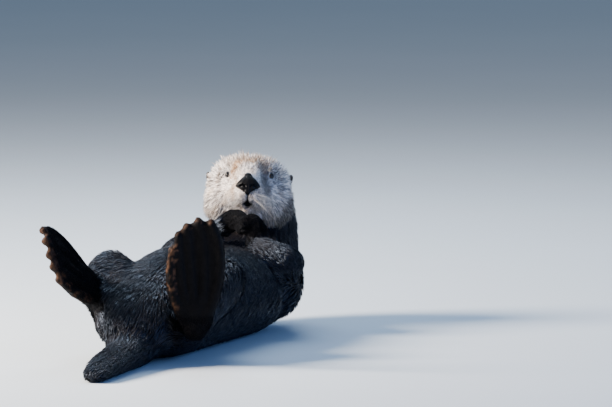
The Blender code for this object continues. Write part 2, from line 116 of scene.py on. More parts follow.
def unit(rows: Array) -> Array:
    """Rows scaled to length 1."""
    return rows / np.maximum(np.linalg.norm(rows, axis=1, keepdims=True), 1e-9)


def rough(points: Array, scale: float, seed: float) -> Array:
    """Smooth random number, about -1 to 1, at each point.

    Args:
        points: Places in metres, one a row.
        scale: Size of the pattern in metres.
        seed: Offset that gives another pattern.

    Returns:
        One number per point.
    """
    shift = Vector((seed * 7.31, seed * 3.17, seed * 5.93))
    return np.array([noise.noise(Vector(p) / scale + shift) for p in points])


def swirl(points: Array, scale: float, seed: float) -> Array:
    """Smooth random direction at each point; takes what rough takes and returns rows of three."""
    shift = Vector((seed * 2.71, seed * 9.11, seed * 4.37))
    return np.array([noise.noise_vector(Vector(p) / scale + shift) for p in points])


def stretches(points: Array, line: Line) -> list[tuple[Array, Array]]:
    """Each straight stretch of a bent line, with every point's distance from it.

    Args:
        points: Places, one a row.
        line: Places that the line goes through.

    Returns:
        The way along each stretch, and one distance per point.
    """
    found = []
    for start, end in zip(np.array(line[:-1], float), np.array(line[1:], float)):
        way = end - start
        share = np.clip((points - start) @ way / max(float(way @ way), 1e-12), 0.0, 1.0)
        found.append((way, np.linalg.norm(points - start - share[:, None] * way, axis=1)))
    return found


def distance_to_line(points: Array, line: Line) -> Array:
    """Distance of each point from a bent line through some places."""
    return np.min([gap for _, gap in stretches(points, line)], axis=0)


def flow_along(points: Array, line: Line) -> Array:
    """Direction in which a bent line runs near each point.

    Args:
        points: Places, one a row.
        line: Places that the line goes through, from root to end.

    Returns:
        One unit direction per point.
    """
    total = np.zeros((len(points), 3))
    for way, gap in stretches(points, line):
        total += unit(way[None, :]) / (gap[:, None] ** 4 + 1e-7)
    return unit(total)


def gathered(rows: bpy.types.bpy_prop_collection, key: str, width: int,
             kind: type = float) -> Array:
    """One property of many mesh elements.

    Args:
        rows: The elements.
        key: The property's name.
        width: Numbers in one value.
        kind: Type of the numbers.

    Returns:
        One row per element, or one number where the width is 1.
    """
    values = np.zeros(len(rows) * width, kind)
    rows.foreach_get(key, values)
    return values.reshape(-1, width) if width > 1 else values


def as_object(name: str, data: bpy.types.ID) -> Piece:
    """Put a mesh, lamp or camera in the scene at the origin.

    Args:
        name: Name of the object.
        data: What it shows.

    Returns:
        The new object.
    """
    item = bpy.data.objects.new(name, data)
    bpy.context.scene.collection.objects.link(item)
    return item


def into_mesh(form: bmesh.types.BMesh, mesh: bpy.types.Mesh, smooth: bool = True) -> None:
    """Write a bmesh to a mesh with outward faces, and free it.

    Args:
        form: The bmesh.
        mesh: The mesh to fill.
        smooth: Whether the faces are shaded smooth.
    """
    bmesh.ops.recalc_face_normals(form, faces=form.faces)
    for face in form.faces:
        face.smooth = smooth
    form.to_mesh(mesh)
    form.free()


def from_form(name: str, form: bmesh.types.BMesh, smooth: bool = True) -> Piece:
    """Turn a bmesh into an object with outward faces.

    Args:
        name: Name of the object and its mesh.
        form: The bmesh, which is freed.
        smooth: Whether the faces are shaded smooth.

    Returns:
        The new object.
    """
    mesh = bpy.data.meshes.new(name)
    into_mesh(form, mesh, smooth)
    return as_object(name, mesh)


def settled(item: Piece) -> Piece:
    """Make an object's modifiers part of its mesh and remove them.

    Args:
        item: Object with modifiers.

    Returns:
        The same object with a plain mesh.
    """
    graph = bpy.context.evaluated_depsgraph_get()
    graph.update()
    mesh = bpy.data.meshes.new_from_object(
        item.evaluated_get(graph), preserve_all_data_layers=True, depsgraph=graph)
    mesh.name = item.name
    item.modifiers.clear()
    old, item.data = item.data, mesh
    bpy.data.meshes.remove(old)
    return item


def even_copy(nodes: list[Piece], name: str, voxel: float) -> Piece:
    """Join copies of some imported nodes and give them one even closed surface.

    Args:
        nodes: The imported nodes, which stay as they are.
        name: Name of the new object.
        voxel: Size of its faces in metres.

    Returns:
        The joined copy.
    """
    form = bmesh.new()
    for node in nodes:
        form.from_mesh(node.data)
    bmesh.ops.remove_doubles(form, verts=form.verts, dist=1e-5)
    for layer in list(form.loops.layers.uv):
        form.loops.layers.uv.remove(layer)
    item = from_form(name, form)
    modifier = item.modifiers.new("even", "REMESH")
    modifier.mode, modifier.voxel_size, modifier.use_smooth_shade = "VOXEL", voxel, True
    return settled(item)


def middle_of(name: str) -> Vector:
    """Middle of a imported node's box."""
    return sum(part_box(name), Vector()) / 2


def keep_layer(item: Piece, name: str, values: Array) -> None:
    """Store one number per corner of a mesh under a name."""
    layer = item.data.attributes.new(name, "FLOAT", "POINT")
    layer.data.foreach_set("value", np.asarray(values, np.float32))


class Surface:
    """Corners and edges of a mesh as arrays, for shaping it."""

    def __init__(self, item: Piece) -> None:
        """Read an object's mesh.

        Args:
            item: The object to shape.
        """
        self.item = item
        self.places = gathered(item.data.vertices, "co", 3)
        self.edges = gathered(item.data.edges, "vertices", 2, int)
        self.count = np.maximum(np.bincount(self.edges.ravel(), minlength=len(self.places)), 1)

    def neighbour_mean(self, values: Array) -> Array:
        """Mean of each corner's neighbours.

        Args:
            values: One number or one row per corner.

        Returns:
            The means, in the same shape.
        """
        rows = values if values.ndim > 1 else values[:, None]
        first, second = self.edges.T
        size = len(self.places)
        total = np.stack([
            np.bincount(first, rows[second, k], size) + np.bincount(second, rows[first, k], size)
            for k in range(rows.shape[1])], axis=1)
        mean = total / self.count[:, None]
        return mean if values.ndim > 1 else mean[:, 0]

    def eased(self, values: Array, rounds: int, pull: float = 0.6) -> Array:
        """Even out values over the surface.

        Args:
            values: One number or one row per corner.
            rounds: How many times to even them out.
            pull: Share of the way to the neighbours' mean at each time.

        Returns:
            The evened values.
        """
        for _ in range(rounds):
            values = values + pull * (self.neighbour_mean(values) - values)
        return values

    def relax(self, rounds: int, hold: Array | None = None) -> None:
        """Smooth the shape without shrinking it much.

        Args:
            rounds: How many pairs of smoothing steps to take.
            hold: How much each corner stays in place, from 0 to 1.
        """
        free = 1.0 if hold is None else (1.0 - hold)[:, None]
        for _ in range(rounds):
            for pull in (0.55, -0.53):
                step = self.neighbour_mean(self.places) - self.places
                self.places = self.places + pull * free * step

    def write(self) -> None:
        """Put the shaped corners back in the mesh."""
        self.item.data.vertices.foreach_set("co", self.places.ravel())
        self.item.data.update()

    def normals(self) -> Array:
        """Outward direction at each corner, after writing the shape."""
        self.write()
        return gathered(self.item.data.vertices, "normal", 3)


# ---------------------------------------------------------------- where things are

@dataclass(frozen=True)
class HeadPose:
    """How the head is turned, and where the eyes lie in its own frame."""

    yaw: float = 18.0
    pitch: float = 6.0
    roll: float = 2.0
    centre: Colour = (-0.003, 0.279, 0.2555)
    eye: Colour = (0.0395, -0.0430, 0.0290)
    nose: Colour = (MID_X, -0.0815, 0.0145)

    def eye_at(self, side: int) -> Colour:
        """Middle of an eye, 1 for the left and -1 for the right, in the head's frame."""
        return side * self.eye[0], self.eye[1], self.eye[2]

    def turn(self) -> Matrix:
        """Turn from the head's frame to the model's.

        Returns:
            The 3 by 3 matrix.
        """
        return (Matrix.Rotation(math.radians(self.yaw), 3, "Z")
                @ Matrix.Rotation(math.radians(-self.pitch), 3, "X")
                @ Matrix.Rotation(math.radians(self.roll), 3, "Y"))


@dataclass(frozen=True)
class FootPose:
    """Frame of a hind foot: +Y runs from heel to toes and +Z comes out of the sole."""

    heel: Colour
    toes: Colour
    sole: Colour
    spread: float
    side: int
    # How far back from each toe tip the painted rim light reaches, in metres.
    rim_light_reach: float
    cup: float = 2.2

    def matrix(self, shift: Vector) -> Matrix:
        """Foot frame in the model's frame.

        Args:
            shift: From the limb sizes' own origin to the model's.

        Returns:
            The 4 by 4 matrix.
        """
        along, out = Vector(self.toes).normalized(), Vector(self.sole)
        out = (out - along * out.dot(along)).normalized()
        basis = Matrix((along.cross(out), along, out)).transposed().to_4x4()
        return Matrix.Translation(Vector(self.heel) + shift) @ basis

    def rays(self) -> list[list[tuple[float, float]]]:
        """Middle lines of the five toes.

        Returns:
            Start, bend and tip of each toe, first to fifth.
        """
        lines = [
            ((-0.016, 0.016), (-0.062, 0.080), (-0.046, 0.156)),
            ((-0.008, 0.014), (-0.034, 0.100), (-0.036, 0.184)),
            ((0.000, 0.012), (-0.009, 0.112), (-0.020, 0.200)),
            ((0.008, 0.014), (0.028, 0.124), (0.002, 0.211)),
            ((0.016, 0.016), (0.074, 0.130), (0.026, 0.208)),
        ]
        return [[(x * self.spread, y) for x, y in line] for line in lines]

    def point(self, ray: list[tuple[float, float]], t: float) -> Vector:
        """Place on a toe's middle line, in the foot frame.

        Args:
            ray: Start, bend and tip of the toe.
            t: How far along, from 0 to 1.

        Returns:
            The place, already on the foot's own side.
        """
        x, y = ((1 - t) ** 2 * a + 2 * t * (1 - t) * b + t ** 2 * c for a, b, c in zip(*ray))
        return Vector((self.side * x, y, self.cup * x ** 2 + 0.010 * t ** 3))


FEET = {
    "hindfoot_left": FootPose((0.110, -0.383, 0.062), (0.03, -0.02, 1.0), (0.309, -0.951, 0.06),
                              0.95, 1, 0.011),
    "hindfoot_right": FootPose((-0.1026, -0.322, 0.1176), (-0.158, -0.806, 0.571),
                               (-0.920, -0.075, -0.384), 1.08, -1, 0.018),
}


@dataclass
class Bearings:
    """Where the head, the feet and the limbs lie in the model, found from its eyes."""

    pose: HeadPose = HeadPose()
    head: Matrix = field(init=False)
    shift: Vector = field(init=False)

    def __post_init__(self) -> None:
        """Find the head from the middle of the two packed eyes."""
        between = (middle_of("eye_left") + middle_of("eye_right")) / 2
        turn = self.pose.turn()
        place = between - turn @ Vector((0.0, self.pose.eye[1], self.pose.eye[2]))
        self.head = Matrix.Translation(place) @ turn.to_4x4()
        self.shift = place - Vector(self.pose.centre)

    def into(self, points: Array, matrix: Matrix | None = None) -> Array:
        """Places in a frame's own terms.

        Args:
            points: Places in the model, one a row.
            matrix: The frame; the head's, if none is given.

        Returns:
            The same places in that frame.
        """
        back = np.array((matrix or self.head).inverted())
        return points @ back[:3, :3].T + back[:3, 3]

    def out_of(self, points: Array, matrix: Matrix | None = None) -> Array:
        """Places in the model, from places in a frame's own terms."""
        rows = np.array(matrix or self.head)
        return points @ rows[:3, :3].T + rows[:3, 3]

    def from_nose(self, local: Array) -> Array:
        """Distance from the front of the nose, for places in the head's frame."""
        return np.linalg.norm(local - np.array([self.pose.nose[0], NOSE_FRONT, 0.008]), axis=1)

    def foot(self, name: str) -> Matrix:
        """Frame of one hind foot in the model."""
        return FEET[name].matrix(self.shift)

    def line(self, places: Line) -> Line:
        """Limb places moved to the model's origin."""
        return [tuple(Vector(p) + self.shift) for p in places]


class Region(Enum):
    """The parts of the animal that its coat treats differently."""

    HEAD = "head"
    NECK = "neck"
    TRUNK = "trunk"
    TAIL = "tail"
    FORELEG = "foreleg"
    FOREPAW = "forepaw"
    HINDLEG = "hindleg"
    HINDFOOT = "hindfoot"

    @staticmethod
    def of(node: str) -> "Region":
        """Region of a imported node, by its name; eyes, ears and nose count as head."""
        stem = node.split("_")[0]
        return Region.HEAD if stem in ("nose", "eye", "ear") else Region(stem)


@dataclass(frozen=True)
class CoatRule:
    """How hair grows on a region: metres, degrees, and shares of the usual."""

    depth: float
    length: float
    width: float
    lift: float
    thick: float
    frost: float


RULES: dict[Region, CoatRule] = {
    Region.HEAD: CoatRule(0.0060, 0.0140, 0.0020, 30.0, 1.00, 0.65),
    Region.NECK: CoatRule(0.0080, 0.0270, 0.0028, 15.0, 1.00, 0.25),
    Region.TRUNK: CoatRule(0.0065, 0.0340, 0.0031, 8.5, 1.00, 0.07),
    Region.TAIL: CoatRule(0.0050, 0.0230, 0.0030, 9.0, 1.00, 0.08),
    Region.FORELEG: CoatRule(0.0055, 0.0260, 0.0028, 9.0, 1.00, 0.08),
    Region.FOREPAW: CoatRule(0.0010, 0.0048, 0.0011, 8.0, 1.00, 0.0),
    Region.HINDLEG: CoatRule(0.0060, 0.0300, 0.0031, 8.5, 1.00, 0.12),
    Region.HINDFOOT: CoatRule(0.0010, 0.0065, 0.0012, 7.0, 1.00, 0.1),
}

FLESH = ["head", "neck", "trunk", "tail"] + [
    f"{limb}_{word}" for limb in ("foreleg", "forepaw", "hindleg", "hindfoot")
    for _, word in SIDES]

# Middle lines of the body and limbs, from where the hair comes to where it goes.
STREAMS: dict[str, Line] = {
    "neck": [(-0.006, 0.330, 0.235), (0.0, 0.270, 0.118), (0.0, 0.140, 0.080)],
    "trunk": [(0.0, 0.300, 0.120), (0.0, 0.140, 0.080), (0.0, -0.120, 0.093),
              (0.0, -0.370, 0.066)],
    "tail": [(0.0, -0.370, 0.066), (0.0, -0.705, 0.030)],
    "foreleg_left": [(0.085, 0.190, 0.112), (0.117, 0.158, 0.132), (0.116, 0.130, 0.146),
                     (0.088, 0.124, 0.160), (0.062, 0.132, 0.172)],
    "foreleg_right": [(-0.085, 0.190, 0.112), (-0.112, 0.158, 0.128), (-0.102, 0.138, 0.150),
                      (-0.058, 0.142, 0.178), (-0.014, 0.148, 0.199)],
    "forepaw_left": [(0.060, 0.131, 0.174), (0.063, 0.126, 0.196), (0.054, 0.120, 0.212),
                     (0.042, 0.114, 0.206)],
    "forepaw_right": [(-0.012, 0.147, 0.199), (0.008, 0.143, 0.2135), (0.028, 0.134, 0.2135),
                      (0.034, 0.126, 0.199)],
    "hindleg_left": [(0.070, -0.160, 0.110), (0.109, -0.290, 0.112), (0.110, -0.357, 0.086)],
    "hindleg_right": [(-0.070, -0.150, 0.112), (-0.112, -0.262, 0.130), (-0.110, -0.320, 0.124)],
}


@dataclass(frozen=True)
class Palette:
    """Base colours of the coat and the bare skin, and the orange of the rim light painted on the
    hind toes.
    """

    cream: Colour = (0.90, 0.81, 0.76)
    straw: Colour = (0.60, 0.46, 0.35)
    tan: Colour = (0.38, 0.205, 0.085)
    taupe: Colour = (0.115, 0.090, 0.078)
    brown: Colour = (0.025, 0.0175, 0.0145)
    wet: Colour = (0.0088, 0.0089, 0.0115)
    black: Colour = (0.004, 0.0036, 0.004)
    painted_rim_light: Colour = (0.092, 0.045, 0.025)
    foot: Colour = (0.0038, 0.0032, 0.0036)


@dataclass
class Skin:
    """One closed skin under the coat, with the face, the toes, all markings, and painted shade
    and rim light on it.
    """

    bearings: Bearings
    palette: Palette = Palette()
    voxel: float = 0.0037
    item: Piece = field(init=False)
    surface: Surface = field(init=False)
    names: list[str] = field(init=False)
    part: Array = field(init=False)

    def build(self, nodes: dict[str, Piece]) -> Piece:
        """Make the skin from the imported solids.

        Args:
            nodes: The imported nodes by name.

        Returns:
            The skin object, with its hair rules stored on its corners.
        """
        self.item = even_copy([nodes[name] for name in nodes], "skin", self.voxel)
        self.refine()
        self.surface = surface = Surface(self.item)
        self.label(nodes)
        hold = surface.eased(np.clip(0.75 * self.in_region(Region.HINDFOOT)
                                     + 0.4 * self.in_region(Region.FOREPAW), 0, 1), 3)
        surface.relax(9, hold)
        fields = self.hair_fields()
        surface.places = surface.places - surface.normals() * fields["depth"][:, None]
        surface.relax(2, hold)
        self.shape_face()
        self.shape_feet()
        self.shape_paws()
        surface.write()
        self.store(fields)
        return self.item

    def refine(self) -> None:
        """Give the face, and most of all the eyes and mouth, a finer mesh."""
        form = bmesh.new()
        form.from_mesh(self.item.data)
        out, _, up = self.bearings.pose.eye
        for centre, reach in (((0.0, -0.050, 0.005), 0.074), ((out, -0.050, up), 0.016),
                              ((-out, -0.050, up), 0.016), ((0.0, -0.086, -0.022), 0.017)):
            place = self.bearings.head @ Vector(centre)
            near = {edge for edge in form.edges
                    if all((corner.co - place).length < reach for corner in edge.verts)}
            bmesh.ops.subdivide_edges(form, edges=list(near), cuts=1, use_grid_fill=True)
        bmesh.ops.triangulate(form, faces=[face for face in form.faces if len(face.verts) > 4])
        for face in form.faces:
            face.smooth = True
        form.to_mesh(self.item.data)
        form.free()

    def label(self, nodes: dict[str, Piece]) -> None:
        """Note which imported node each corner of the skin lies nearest.

        Args:
            nodes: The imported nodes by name.
        """
        self.names = sorted(nodes)
        corners, faces, owner = [], [], []
        for number, name in enumerate(self.names):
            mesh, start = nodes[name].data, len(corners)
            corners.extend(tuple(v.co) for v in mesh.vertices)
            faces += [[start + index for index in face.vertices] for face in mesh.polygons]
            owner += [number] * len(mesh.polygons)
        tree = BVHTree.FromPolygons(corners, faces)
        self.part = np.array([owner[tree.find_nearest(Vector(p))[2]]
                              for p in self.surface.places])

    def in_region(self, region: Region) -> Array:
        """1 at corners of one region and 0 elsewhere."""
        numbers = [k for k, name in enumerate(self.names) if Region.of(name) is region]
        return np.isin(self.part, numbers).astype(float)

    def on_part(self, name: str) -> Array:
        """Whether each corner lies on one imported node."""
        return self.part == self.names.index(name)

    def hair_fields(self) -> dict[str, Array]:
        """Work out how the hair grows at each corner, while the skin is at the coat's face.

        Returns:
            Arrays named depth, length, width, lift, thick, frost, lie and pelt.
        """
        fields = {name: sum(self.in_region(region) * getattr(rule, name)
                            for region, rule in RULES.items())
                  for name in ("depth", "length", "width", "lift", "thick", "frost")}
        local = self.bearings.into(self.surface.places)
        head = self.in_region(Region.HEAD) > 0.5
        bald = self.head_hair(local, head, fields)
        fields = {name: self.surface.eased(value, 7) for name, value in fields.items()}
        fields["thick"] *= 1.0 - bald
        fields["lie"] = self.lie(local, head)
        fields["pelt"] = self.pelt(local, head)
        return fields

    def head_hair(self, local: Array, head: Array, fields: dict[str, Array]) -> Array:
        """Set the head's hair, from a fine short face to a long beard and a spiky crown.

        Args:
            local: Corners in the head's frame.
            head: Which corners lie on the head.
            fields: The arrays to change.

        Returns:
            1 where the eyes, the ears and the nose leave no room for hair, and 0 elsewhere.
        """
        _, y, z = local.T
        from_nose = self.bearings.from_nose(local)
        face = smooth_step(0.020, 0.085, from_nose)
        crown = smooth_step(0.030, 0.062, z) * smooth_step(-0.075, -0.020, y)
        beard = smooth_step(-0.004, -0.038, z) * smooth_step(0.030, 0.060, from_nose)
        ring = np.minimum(*(self.eye_ring(local, side, 0.0048, 0.0058) for side in (-1, 1)))
        near_eye = 1.0 - smooth_step(1.5, 4.2, ring)
        ears = [self.bearings.into(np.array([middle_of(f"ear_{word}")])) for _, word in SIDES]
        to_ear = np.min([np.linalg.norm(local - ear, axis=1) for ear in ears], axis=0)
        near_ear = 1.0 - smooth_step(0.010, 0.022, to_ear)
        hair = {"length": 0.0044 + 0.0120 * face + 0.0075 * beard + 0.0020 * crown,
                "lift": 14.0 + 10.0 * face + 18.0 * crown + 2.0 * beard,
                "width": 0.0009 + 0.0007 * face}
        for name, value, share in (("length", 0.0074, near_ear), ("lift", 12.0, near_ear),
                                   ("length", 0.0034, near_eye), ("lift", 13.0, near_eye),
                                   ("width", 0.0007, near_eye)):
            hair[name] = mixed(hair[name], value, share)
        hair["depth"] = np.clip(0.0004 + 0.34 * hair["length"], 0.0014, 0.0068)
        hair["thick"] = 1.0 + 0.9 * (1.0 - face) + 0.5 * near_eye
        for name, value in hair.items():
            fields[name] = np.where(head, value, fields[name])
        bald = np.maximum(1.0 - smooth_step(0.96, 1.08, ring), self.under_pad(local, 0.0))
        return np.maximum(bald, 1.0 - smooth_step(0.0085, 0.0100, to_ear)) * head

    def eye_ring(self, local: Array, side: int, half_width: float, half_height: float) -> Array:
        """How far each corner lies from an eye, where 1 is the edge of an oval about it.

        Args:
            local: Corners in the head's frame.
            side: 1 for the left eye and -1 for the right.
            half_width: Half the oval's width.
            half_height: Half the oval's height.

        Returns:
            One number per corner, large away from the face.
        """
        out, across, up = Eye.axes(side)
        offset = local - np.array(self.bearings.pose.eye_at(side))
        ring = np.hypot(offset @ across / half_width, offset @ up / half_height)
        return np.where(offset @ out > -0.008, ring, 99.0)

    def under_pad(self, local: Array, margin: float) -> Array:
        """1 at corners behind the nose pad and 0 elsewhere.

        Args:
            local: Corners in the head's frame.
            margin: How far inside the pad's outline the edge lies.

        Returns:
            One number per corner.
        """
        x, _, z = (local - np.array(self.bearings.pose.nose)).T
        half = np.interp(z, (-0.0160, -0.0100, -0.0050, 0.0040, 0.0130),
                         (0.0065, 0.0178, 0.0225, 0.0170, 0.0070)) - margin
        inside = smooth_step(0.0012, -0.0012, abs(x) - half)
        inside *= smooth_step(-0.0160, -0.0140, z) * smooth_step(0.0095, 0.0078, z)
        return inside * (local[:, 1] < -0.045)

    def lie(self, local: Array, head: Array) -> Array:
        """Direction in which the hair lies at each corner.

        Args:
            local: Corners in the head's frame.
            head: Which corners lie on the head.

        Returns:
            Unit rows along the surface.
        """
        places = self.surface.places
        rows = np.zeros_like(places)
        for name, line in STREAMS.items():
            mine = self.on_part(name)
            rows[mine] = flow_along(places[mine], self.bearings.line(line))
        trunk = self.in_region(Region.TRUNK) + self.in_region(Region.HINDLEG)
        sag = np.stack([0.30 * np.sign(places[:, 0]) * smooth_step(0, 0.03, abs(places[:, 0])),
                        np.zeros(len(places)), np.full(len(places), -0.40)], axis=1)
        rows += sag * trunk[:, None]
        for name in FEET:
            rows[self.on_part(name)] = self.bearings.foot(name).to_3x3() @ Vector((0, 1, 0))
        x, _, z = local.T
        away = unit(local - np.array([MID_X, -0.096, 0.006]))
        cheek = smooth_step(0.025, 0.055, abs(x)) * smooth_step(0.025, -0.015, z)
        away += np.stack([0.15 * np.sign(x) * cheek, -0.10 * cheek, -0.75 * cheek], axis=1)
        below = smooth_step(-0.02, -0.045, z)[:, None]
        away = away * (1 - below) + below * unit(away + np.array([0.0, 0.2, -1.4]))
        turned = away @ np.array(self.bearings.head)[:3, :3].T
        rows = np.where(head[:, None], turned, rows)
        rows = unit(self.surface.eased(unit(rows), 8))
        wander = 0.14 * swirl(places, 0.070, 1.0) + 0.13 * swirl(places, 0.019, 2.0)
        rows = rows + wander * (1.0 - 0.35 * head)[:, None]
        normals = self.surface.normals()
        rows -= normals * np.sum(rows * normals, axis=1, keepdims=True)
        return unit(rows)

    def pelt(self, local: Array, head: Array) -> Array:
        """Colour of the coat and the bare skin at each corner.

        Args:
            local: Corners in the head's frame.
            head: Which corners lie on the head.

        Returns:
            Rows of linear red, green and blue.
        """
        pal, surface = self.palette, self.surface
        blotch, fine = rough(surface.places, 0.028, 3.0), rough(surface.places, 0.009, 4.0)
        body = mixed(pal.wet, pal.brown, smooth_step(-0.35, 0.55, blotch) * 0.5)
        body = mixed(body, pal.brown, 0.6 * surface.eased(self.in_region(Region.NECK), 4))
        on_head = surface.eased(head.astype(float), 3)
        return self.limb_marks_and_rim_light(self.head_marks_and_shade(body, local, on_head, blotch, fine), fine)

    def head_marks_and_shade(self, base: Array, local: Array, on_head: Array, blotch: Array,
                   fine: Array) -> Array:
        """Paint the pale head, with the stripes by the eyes and the brown nape, and painted shade
        on the left side of the face.

        Args:
            base: Colours so far.
            local: Corners in the head's frame.
            on_head: 1 on the head and 0 elsewhere, eased.
            blotch: Broad random pattern.
            fine: Fine random pattern.

        Returns:
            The new colours.
        """
        pal = self.palette
        x, y, z = local.T
        pale = on_head * (1 - smooth_step(0.022, 0.080, y + 0.016 * blotch))
        throat = smooth_step(-0.045, -0.075, z + 0.010 * blotch)
        pale *= 1 - 0.9 * throat * smooth_step(-0.03, 0.03, y)
        # Painted shade: on the left, shaded side the pale head ends higher along the jaw, so that
        # side is darker lower down.
        start, slope, chin = (np.where(x > 0, *pair) for pair in
                              ((0.0377, 0.052), (1.45, 1.20), (0.0545, 0.066)))
        jaw = z + chin - slope * np.maximum(abs(x) - start, 0)
        pale *= 0.10 + 0.90 * smooth_step(-0.008, 0.008, jaw + 0.007 * blotch)
        crown = smooth_step(0.042, 0.068, z) * pale
        dapple = rough(local, 0.0055, 8.0) * on_head
        outer = 0.60 + 0.38 * smooth_step(0.030, 0.055, np.hypot(x, np.maximum(z, 0)))
        warm = smooth_step(-0.05, 0.35, rough(local, 0.015, 6.0)) * pale
        colour = mixed(base, mixed(pal.brown, pal.taupe, 0.6 + 0.4 * blotch), on_head)
        for tint, share in (
                (pal.straw, smooth_step(0.05, 0.6, pale)),
                (pal.cream, smooth_step(0.35, 0.95, pale)),
                (pal.tan, 0.90 * crown * smooth_step(-0.30, 0.20, fine)),
                (pal.taupe, outer * pale * smooth_step(0.08, 0.38, dapple)),
                (pal.straw, 0.60 * warm)):
            colour = mixed(colour, tint, share)
        flat = np.stack([x, z], axis=1)
        front = 1 - smooth_step(-0.045, -0.020, y)
        # Each mark: its line across and up the face, its reach, its colour and its strength. The
        # taupe marks about the left eye, its brow and up to the crown are partly markings, partly
        # painted shade.
        marks_and_shade = [
            ([(-0.030, 0.036), (-0.025, 0.048), (-0.012, 0.056), (0.006, 0.058)],
             0.0060, pal.tan, 1.0),
            ([(0.006, 0.058), (0.018, 0.056), (0.030, 0.050)], 0.0045, pal.tan, 0.75),
            ([(-0.029, 0.034), (-0.024, 0.018), (-0.030, 0.000), (-0.028, -0.014)],
             0.0038, pal.tan, 0.55),
            ([(0.022, 0.066), (0.020, 0.048), (0.030, 0.040)], 0.0095, pal.taupe, 0.90),
            ([(0.022, 0.054), (0.030, 0.046)], 0.0040, pal.tan, 0.7),
            ([(0.029, 0.040), (0.027, 0.020), (0.034, 0.004)], 0.0068, pal.taupe, 0.90),
            ([(0.034, 0.004), (0.040, -0.012)], 0.0050, pal.taupe, 0.45),
            ([(0.032, 0.037), (0.040, 0.0385), (0.047, 0.035)], 0.0036, pal.taupe, 0.75),
            ([(-0.031, 0.035), (-0.031, 0.028), (-0.034, 0.022)], 0.0022, pal.tan, 0.75),
            ([(0.045, 0.052), (0.062, 0.044)], 0.0070, pal.taupe, 0.55),
            ([(-0.048, 0.050), (-0.064, 0.040)], 0.0060, pal.straw, 0.55),
        ]
        for line, reach, tint, strength in marks_and_shade:
            gap = distance_to_line(flat, line) + 0.0022 * fine
            share = strength * front * on_head * (1 - smooth_step(0.35 * reach, 1.5 * reach, gap))
            colour = mixed(colour, tint, share)
        for side in (-1, 1):
            ring = self.eye_ring(local, side, Eye.half_width, Eye.half_height)
            for tint, low, high, strength in ((pal.cream, 1.7, 2.4, 0.7),
                                              (pal.black, 1.25, 1.42, 0.95)):
                rim = front * on_head * (1 - smooth_step(low, high, ring))
                colour = mixed(colour, tint, strength * rim)
        colour = mixed(colour, pal.black, self.under_pad(local, 0.0))
        groove = distance_to_line(flat, [(MID_X, -0.002), (MID_X, -0.020)])
        mouth = np.hypot((x - MID_X) / 0.0098, (z + 0.0245) / 0.0056)
        dark = np.maximum(front * on_head * (1 - smooth_step(0.0014, 0.0034, groove)),
                          front * on_head * (1 - smooth_step(0.80, 1.15, mouth)))
        return mixed(colour, pal.black, 0.96 * dark)

    def limb_marks_and_rim_light(self, colour: Array, fine: Array) -> Array:
        """Paint the dark paws and the feet, and the orange rim light painted on the hind toes'
        tips and the first toe's edge.

        Args:
            colour: Colours so far.
            fine: Fine random pattern.

        Returns:
            The new colours.
        """
        places = self.surface.places
        for region in (Region.FOREPAW, Region.HINDFOOT):
            share = self.surface.eased(self.in_region(region), 3)
            colour = mixed(colour, self.palette.foot, share)
        for name, pose in FEET.items():
            mine, rays = self.on_part(name), pose.rays()
            spot = self.bearings.into(places[mine], self.bearings.foot(name))
            tip_gap = np.min([np.linalg.norm(spot - np.array(pose.point(ray, 1.0)), axis=1)
                              for ray in rays], axis=0)
            edge_gap = distance_to_line(
                spot, [tuple(pose.point(rays[0], t)) for t in (0.25, 0.5, 0.75, 1.0)])
            ragged = 0.010 * fine[mine] + 0.004 * rough(places[mine], 0.004, 9.0)
            # Painted rim light: orange sunlight painted on the toe tips and along the first toe's
            # edge.
            warm = np.maximum(0.52 * (1 - smooth_step(0.003, pose.rim_light_reach, tip_gap + ragged)),
                              0.75 * (1 - smooth_step(0.005, 0.010, edge_gap + ragged)))
            colour[mine] = mixed(colour[mine], self.palette.painted_rim_light, warm)
        return colour

    def shape_face(self) -> None:
        """Raise the whisker pads and brows, open the eyes and the mouth, and set the lips."""
        local = self.bearings.into(self.surface.places)
        x, y, z = local.T
        front = 1 - smooth_step(-0.045, -0.025, y)
        for side in (-1, 1):
            pad = np.exp(-((x - side * 0.0155 - MID_X) ** 2 / 0.0105 ** 2
                           + (z + 0.0125) ** 2 / 0.0085 ** 2))
            local[:, 1] -= 0.0040 * pad * front
            brow = np.exp(-((x - side * 0.038) ** 2 / 0.014 ** 2
                            + (z - 0.043) ** 2 / 0.006 ** 2))
            local[:, 1] -= 0.0016 * brow * front
        groove = np.exp(-((x - MID_X) / 0.0022) ** 2) * smooth_step(0.002, -0.004, z)
        groove *= smooth_step(-0.026, -0.019, z)
        local[:, 1] += 0.0035 * groove * front
        upper = 0.0062 - 0.0040 * np.clip(abs(x - MID_X) / 0.0095, 0, 1.3)
        reach = np.hypot((x - MID_X) / 0.0098, (z + 0.0245) / (0.0035 + np.maximum(upper, 0)))
        hole = front * (1 - smooth_step(0.62, 1.0, reach))
        local[:, 1] += 0.0120 * hole
        lip = np.exp(-((x - MID_X) / 0.0105) ** 2 - ((z + 0.0335) / 0.0036) ** 2)
        local[:, 1] -= 0.0026 * lip * front
        local[:, 1] += 0.0075 * self.under_pad(local, 0.0012)
        for side in (-1, 1):
            self.open_eye(local, side)
        self.surface.places = self.bearings.out_of(local)

